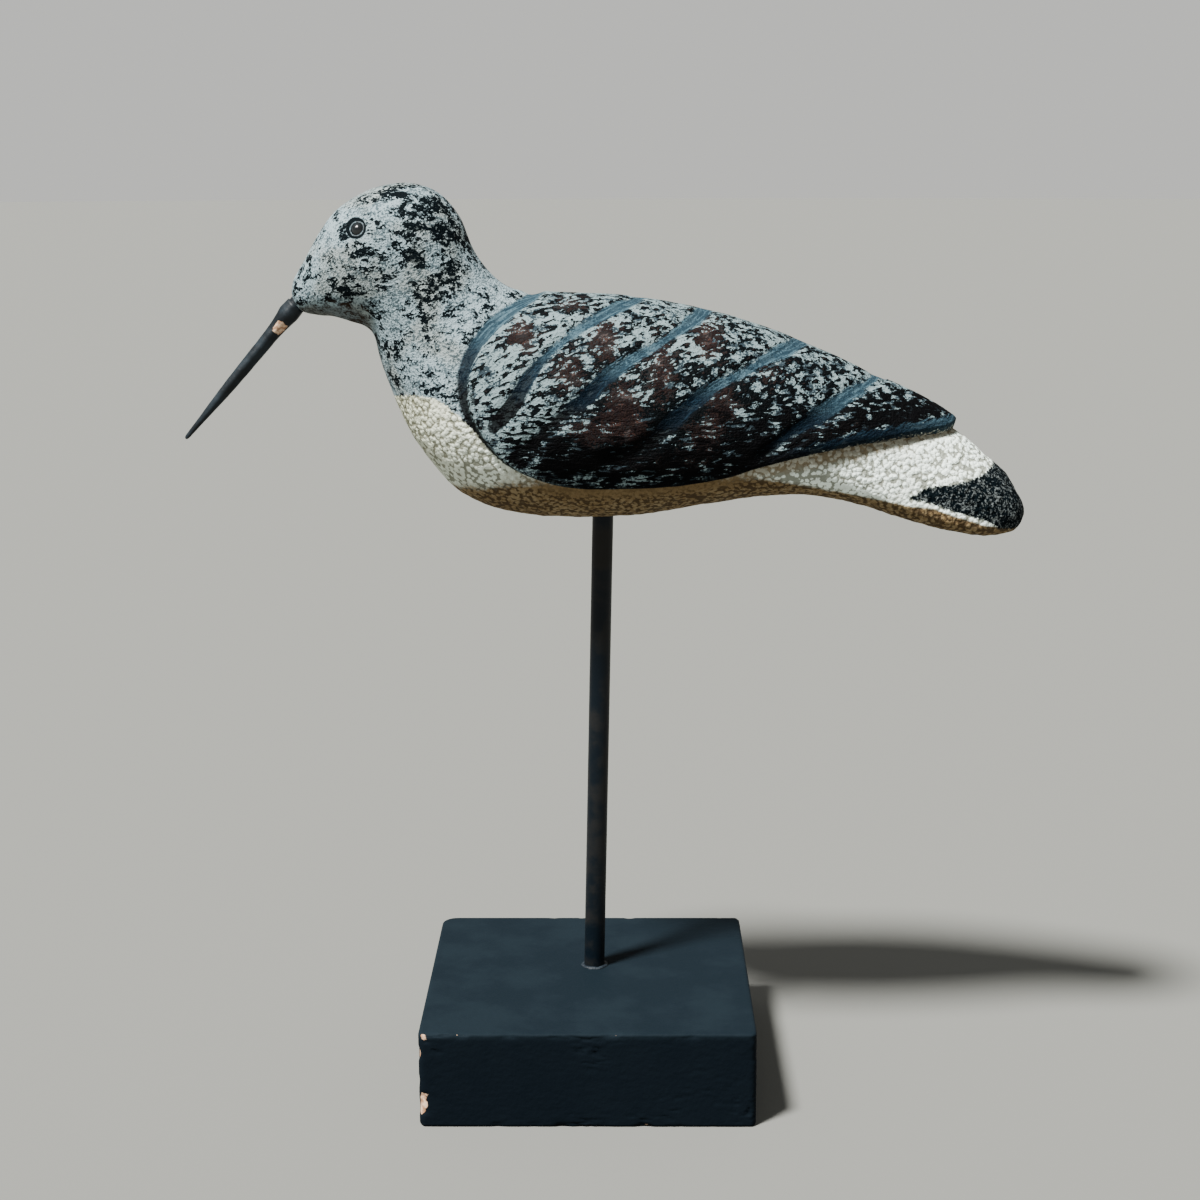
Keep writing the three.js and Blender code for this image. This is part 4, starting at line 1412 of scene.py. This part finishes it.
@dataclass
class Block:
    """The black block with its worn edges and pitted front."""

    side: float = 100.0
    height: float = 29.4
    corner: float = 2.0
    worn_corner: float = 5.0
    arris: float = 0.9
    cuts: int = 123
    crowding: float = 1.35

    def build(self) -> bpy.types.Object:
        """Shape the block from a cube.

        Returns:
            The block.
        """
        piece = start_piece("black_block", bpy.ops.mesh.primitive_cube_add, size=2.0)
        bpy.ops.object.mode_set(mode="EDIT")
        bpy.ops.mesh.select_all(action="SELECT")
        bpy.ops.mesh.subdivide(number_cuts=self.cuts)
        bpy.ops.object.mode_set(mode="OBJECT")
        cube = read_points(piece) * METRES
        spread = np.sign(cube) * (1.0 - (1.0 - np.minimum(np.abs(cube), 1.0)) ** self.crowding)
        half = np.array([self.side / 2, self.side / 2, self.height / 2])
        points = spread * half
        points = self.round_off(points, half)
        pits, bare, worn = self.wear(points)
        inwards = self.inwards(points, half)
        points = points + inwards * pits[:, None]
        points[:, 2] = np.maximum(points[:, 2] + self.height / 2, 0.0)
        write_points(piece, points)
        # Painted shade: everything below the top face, the sides and front, is marked to be painted darker as turned
        # from the overhead light.
        sides = smooth_step(self.height - points[:, 2], 0.4, 2.5)
        for name, values in {"worn": worn, "bare": bare, "shade": sides}.items():
            layer = piece.data.attributes.new(name, "FLOAT", "POINT")
            layer.data.foreach_set("value", values)
        outward(piece)
        return piece

    def round_off(self, points: np.ndarray, half: np.ndarray) -> np.ndarray:
        """Round the upright corners and the arrises.

        Args:
            points: Points of the sharp block about its middle.
            half: Half of its sizes.

        Returns:
            The rounded points.
        """
        worn = (points[:, 0] < 0) & (points[:, 1] > 0)
        radius = np.where(worn, self.worn_corner, self.corner)
        core = np.clip(points[:, :2], -(half[:2] - radius[:, None]), half[:2] - radius[:, None])
        away = points[:, :2] - core
        size = np.linalg.norm(away, axis=1)
        reach = np.abs(away).max(axis=1)
        scale = np.where(size > 1e-9, reach / np.maximum(size, 1e-9), 1.0)
        points[:, :2] = core + away * scale[:, None]
        lift = np.clip(np.abs(points[:, 2]) - (half[2] - self.arris), 0.0, None) / self.arris
        inside = np.clip(reach - (radius - self.arris), 0.0, None) / self.arris
        diagonal = np.maximum(lift, inside)
        length = np.hypot(lift, inside)
        shrink = np.where(length > 1e-9, diagonal / np.maximum(length, 1e-9), 1.0)
        points[:, 2] = np.sign(points[:, 2]) * np.where(
            lift > 0, half[2] - self.arris + self.arris * lift * shrink, np.abs(points[:, 2]))
        direction = away / np.maximum(size, 1e-9)[:, None]
        moved = core + direction * (radius - self.arris + self.arris * inside * shrink)[:, None]
        points[:, :2] = np.where((inside > 0)[:, None], moved, points[:, :2])
        return points

    def inwards(self, points: np.ndarray, half: np.ndarray) -> np.ndarray:
        """Point from the surface into the block.

        Args:
            points: Points of the rounded block about its middle.
            half: Half of its sizes.

        Returns:
            Unit directions.
        """
        share = np.clip((np.abs(points) - (half - 3.0)) / 3.0, 0.0, 1.0) ** 3
        direction = -np.sign(points) * share
        return direction / (np.linalg.norm(direction, axis=1, keepdims=True) + 1e-9)

    def wear(self, points: np.ndarray) -> tuple[np.ndarray, np.ndarray, np.ndarray]:
        """Work out the pits, the bare wood and the rubbed paint.

        Args:
            points: Points of the rounded block about its middle.

        Returns:
            The depth of wear in millimetres, and the shares of bare wood and rubbed paint.
        """
        x, y, z = points.T
        half, low = self.side / 2, self.height / 2
        front = smooth_step(-y, half - 2.5, half - 0.4)
        side_edge = np.minimum(half - np.abs(x), half - np.abs(y)) < 3.0
        coarse, fine = ripple(points, 3.2, 12.0), ripple(points, 1.1, 7.0)
        region = smooth_step(ripple(points, 22.0, 4.4) + np.where(x > -5, 0.16, -0.2), 0.02, 0.3)
        pitted = smooth_step(coarse * 0.7 + fine * 0.5, 0.1, 0.45) * region * front
        edge_gap = np.hypot(np.maximum(half - np.abs(y), 0), np.maximum(low - np.abs(z), 0))
        corner_gap = np.hypot(np.maximum(half - np.abs(x), 0), np.maximum(half - np.abs(y), 0))
        nicks = np.exp(-((edge_gap / 1.3) ** 2)) * smooth_step(ripple(points, 5.0, 33.0), 0.12, 0.5)
        chips = np.exp(-((corner_gap / 2.6) ** 2)) * smooth_step(ripple(points, 6.0, 51.0), -0.05, 0.3)
        chips *= np.where(x < 0, 1.0, 0.35) * side_edge
        depth = 0.3 * pitted + 0.5 * nicks + 0.7 * chips + 0.05 * (1 + fine) * front
        bare = np.clip(chips * 1.1 + 0.5 * nicks * front, 0.0, 1.0)
        worn = np.clip(0.4 * nicks + 0.3 * chips, 0.0, 1.0)
        return depth, bare, worn


@dataclass
class FootPaint:
    """The lump of paint and glue that seals the rod into the block."""

    foot_x: float = 1.5
    top_z: float = 29.4
    ring_radius: float = 3.5
    thickness: float = 0.75

    def build(self) -> bpy.types.Object:
        """Make the lumpy ring.

        Returns:
            The ring.
        """
        piece = start_piece("foot_seal", bpy.ops.mesh.primitive_torus_add, major_segments=96, minor_segments=18,
                            major_radius=self.ring_radius * METRES, minor_radius=self.thickness * METRES)
        points = read_points(piece)
        lumps = 1.0 + 0.10 * ripple(points * (1, 1, 0), 2.2, 6.0) + 0.05 * ripple(points, 0.8, 2.0)
        points[:, :2] *= lumps[:, None]
        points[:, 2] *= 0.9 + 0.35 * ripple(points * (1, 1, 0), 1.8, 3.0)
        write_points(piece, points + (self.foot_x, MID_PLANE, self.top_z - 0.05))
        for name, share in {"worn": 0.1, "bare": 0.0}.items():
            layer = piece.data.attributes.new(name, "FLOAT", "POINT")
            layer.data.foreach_set("value", np.full(len(points), share))
        outward(piece)
        return piece


@dataclass(frozen=True)
class BeadGlass:
    """Black glass with a little dust."""

    def material(self) -> bpy.types.Material:
        """Mix the glass.

        Returns:
            The material.
        """
        mix = Recipe("eye_glass")
        dust = mix.grain(0.7, 3.0, 0.6)
        colour = mix.blend(mix.ease(dust, 0.5, 0.75) * 0.25, paint_colour(10, 14, 17), paint_colour(44, 52, 56))
        return mix.finish(colour, dust * 0.2 + 0.12, dust, 0.00003, {"Specular IOR Level": 0.6})


@dataclass(frozen=True)
class RimPaint:
    """The pale, grimy ring around an eye."""

    def material(self) -> bpy.types.Material:
        """Mix the paint.

        Returns:
            The material.
        """
        mix = Recipe("rim_paint")
        grime = mix.grain(1.3, 3.0, 0.6)
        colour = mix.blend(mix.ease(grime, 0.4, 0.54) * 0.9, paint_colour(84, 104, 112), paint_colour(6, 16, 22))
        return mix.finish(colour, grime * 0.2 + 0.55, grime, 0.0001)


@dataclass(frozen=True)
class FloorPaper:
    """Plain pale paper."""

    colour: tuple[float, float, float, float] = paint_colour(106, 107, 103)

    def material(self) -> bpy.types.Material:
        """Mix the paper.

        Returns:
            The material.
        """
        mix = Recipe("floor_paper")
        fibre = mix.grain(5.5, 4.0, 0.6)
        return mix.finish(mix.blend(fibre * 0.06, self.colour, paint_colour(98, 98, 94)), 0.9)


@dataclass
class Studio:
    """The floor, the soft lights and the camera."""

    camera_place: tuple[float, float, float] = (8.9, -653.7, 284.7)
    focal_pixels: float = 2187.0
    picture_pixels: float = 1200.0
    film: float = 36.0
    pitch: float = 11.69
    yaw: float = -0.46
    roll: float = -0.15
    floor_radius: float = 12.0
    key_strength: float = 14.0
    key_spread: float = 10.0
    key_bearing: float = 48.0
    key_height: float = 60.0
    horizon_strength: float = 0.66
    sky_strength: float = 0.35

    def lay_floor(self) -> bpy.types.Object:
        """Lay a wide pale floor.

        Returns:
            The floor.
        """
        floor = start_piece("floor", bpy.ops.mesh.primitive_circle_add, vertices=128, radius=self.floor_radius,
                            fill_type="NGON")
        floor.data.materials.append(FloorPaper().material())
        return floor

    def light(self) -> None:
        """Set the soft key light and the room."""
        data = bpy.data.lights.new("key", "SUN")
        data.energy = self.key_strength
        data.angle = math.radians(self.key_spread)
        data.color = (1.0, 0.985, 0.955)
        key = bpy.data.objects.new("key", data)
        bearing, height = math.radians(self.key_bearing), math.radians(self.key_height)
        towards = Vector((-math.sin(bearing) * math.cos(height), -math.cos(bearing) * math.cos(height),
                          math.sin(height)))
        key.rotation_euler = towards.to_track_quat("Z", "Y").to_euler()
        bpy.context.collection.objects.link(key)
        self.fill_room()

    def fill_room(self) -> None:
        """Give the room its soft light, paler near the horizon so that the floor runs out into it."""
        world = bpy.data.worlds.new("room")
        world.use_nodes = True
        nodes, links = world.node_tree.nodes, world.node_tree.links
        room = next(n for n in nodes if n.type == "BACKGROUND")
        place = nodes.new("ShaderNodeTexCoord")
        split = nodes.new("ShaderNodeSeparateXYZ")
        ramp = nodes.new("ShaderNodeMapRange")
        ramp.interpolation_type = "SMOOTHSTEP"
        ramp.inputs["From Min"].default_value = 0.08
        ramp.inputs["From Max"].default_value = 0.3
        ramp.inputs["To Min"].default_value = self.horizon_strength
        ramp.inputs["To Max"].default_value = self.sky_strength
        links.new(place.outputs["Generated"], split.inputs[0])
        links.new(split.outputs["Z"], ramp.inputs["Value"])
        links.new(ramp.outputs[0], room.inputs["Strength"])
        room.inputs["Color"].default_value = (1.0, 1.0, 0.965, 1.0)
        bpy.context.scene.world = world

    def place_camera(self) -> None:
        """Put the camera where the picture was taken from."""
        pitch, yaw, roll = (math.radians(a) for a in (self.pitch, self.yaw, self.roll))
        forward = Vector((math.sin(yaw) * math.cos(pitch), math.cos(yaw) * math.cos(pitch), -math.sin(pitch)))
        right = forward.cross(Vector((0, 0, 1))).normalized()
        up = right.cross(forward)
        rolled_right = right * math.cos(roll) + up * math.sin(roll)
        rolled_up = up * math.cos(roll) - right * math.sin(roll)
        data = bpy.data.cameras.new("camera")
        data.sensor_width = self.film
        data.lens = self.focal_pixels / self.picture_pixels * self.film
        data.clip_start, data.clip_end = 0.01, 50.0
        camera = bpy.data.objects.new("camera", data)
        turn = Matrix((rolled_right, rolled_up, -forward)).transposed().to_4x4()
        camera.matrix_world = Matrix.Translation(Vector(self.camera_place) * METRES) @ turn
        bpy.context.collection.objects.link(camera)
        bpy.context.scene.camera = camera


def main() -> None:
    """Build the decoy, its stand and the studio."""
    logging.basicConfig(level=logging.INFO, format="%(message)s")
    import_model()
    studio = Studio()
    studio.place_camera()
    skin = Skin(list(SECTIONS.values()))
    carry(Bird(skin, Carving(skin)).build(), BirdPaint().material(), ["bird"])
    bill_paint = BlackPaint("bill_paint", paint_colour(6, 13, 18), paint_colour(34, 46, 54), 0.5, 11, 0.0002)
    carry(Bill().build(), bill_paint.material(), ["bill"])
    glass, rim_paint = BeadGlass().material(), RimPaint().material()
    for side in Side:
        eye = Eye(skin, side)
        carry(eye.bead(), glass, [f"eye_{side.name.lower()}"])
        carry(eye.rim(), rim_paint, [])
    rod_paint = BlackPaint("rod_black", paint_colour(4, 12, 19), paint_colour(28, 27, 25), 0.45, 8, 0.0001, 0.15)
    carry(Rod().build(), rod_paint.material(), ["rod"])
    block_paint = BlackPaint("block_paint", paint_colour(13, 22, 28), paint_colour(20, 29, 35), 0.75, 22, 0.0003, 0.05)
    carry(Block().build(), block_paint.material(), ["base"])
    seal_paint = BlackPaint("seal_paint", paint_colour(13, 22, 30), paint_colour(34, 44, 50), 0.6, 3.5, 0.0002)
    carry(FootPaint().build(), seal_paint.material(), [])
    studio.lay_floor()
    studio.light()


if __name__ == "__main__":
    main()
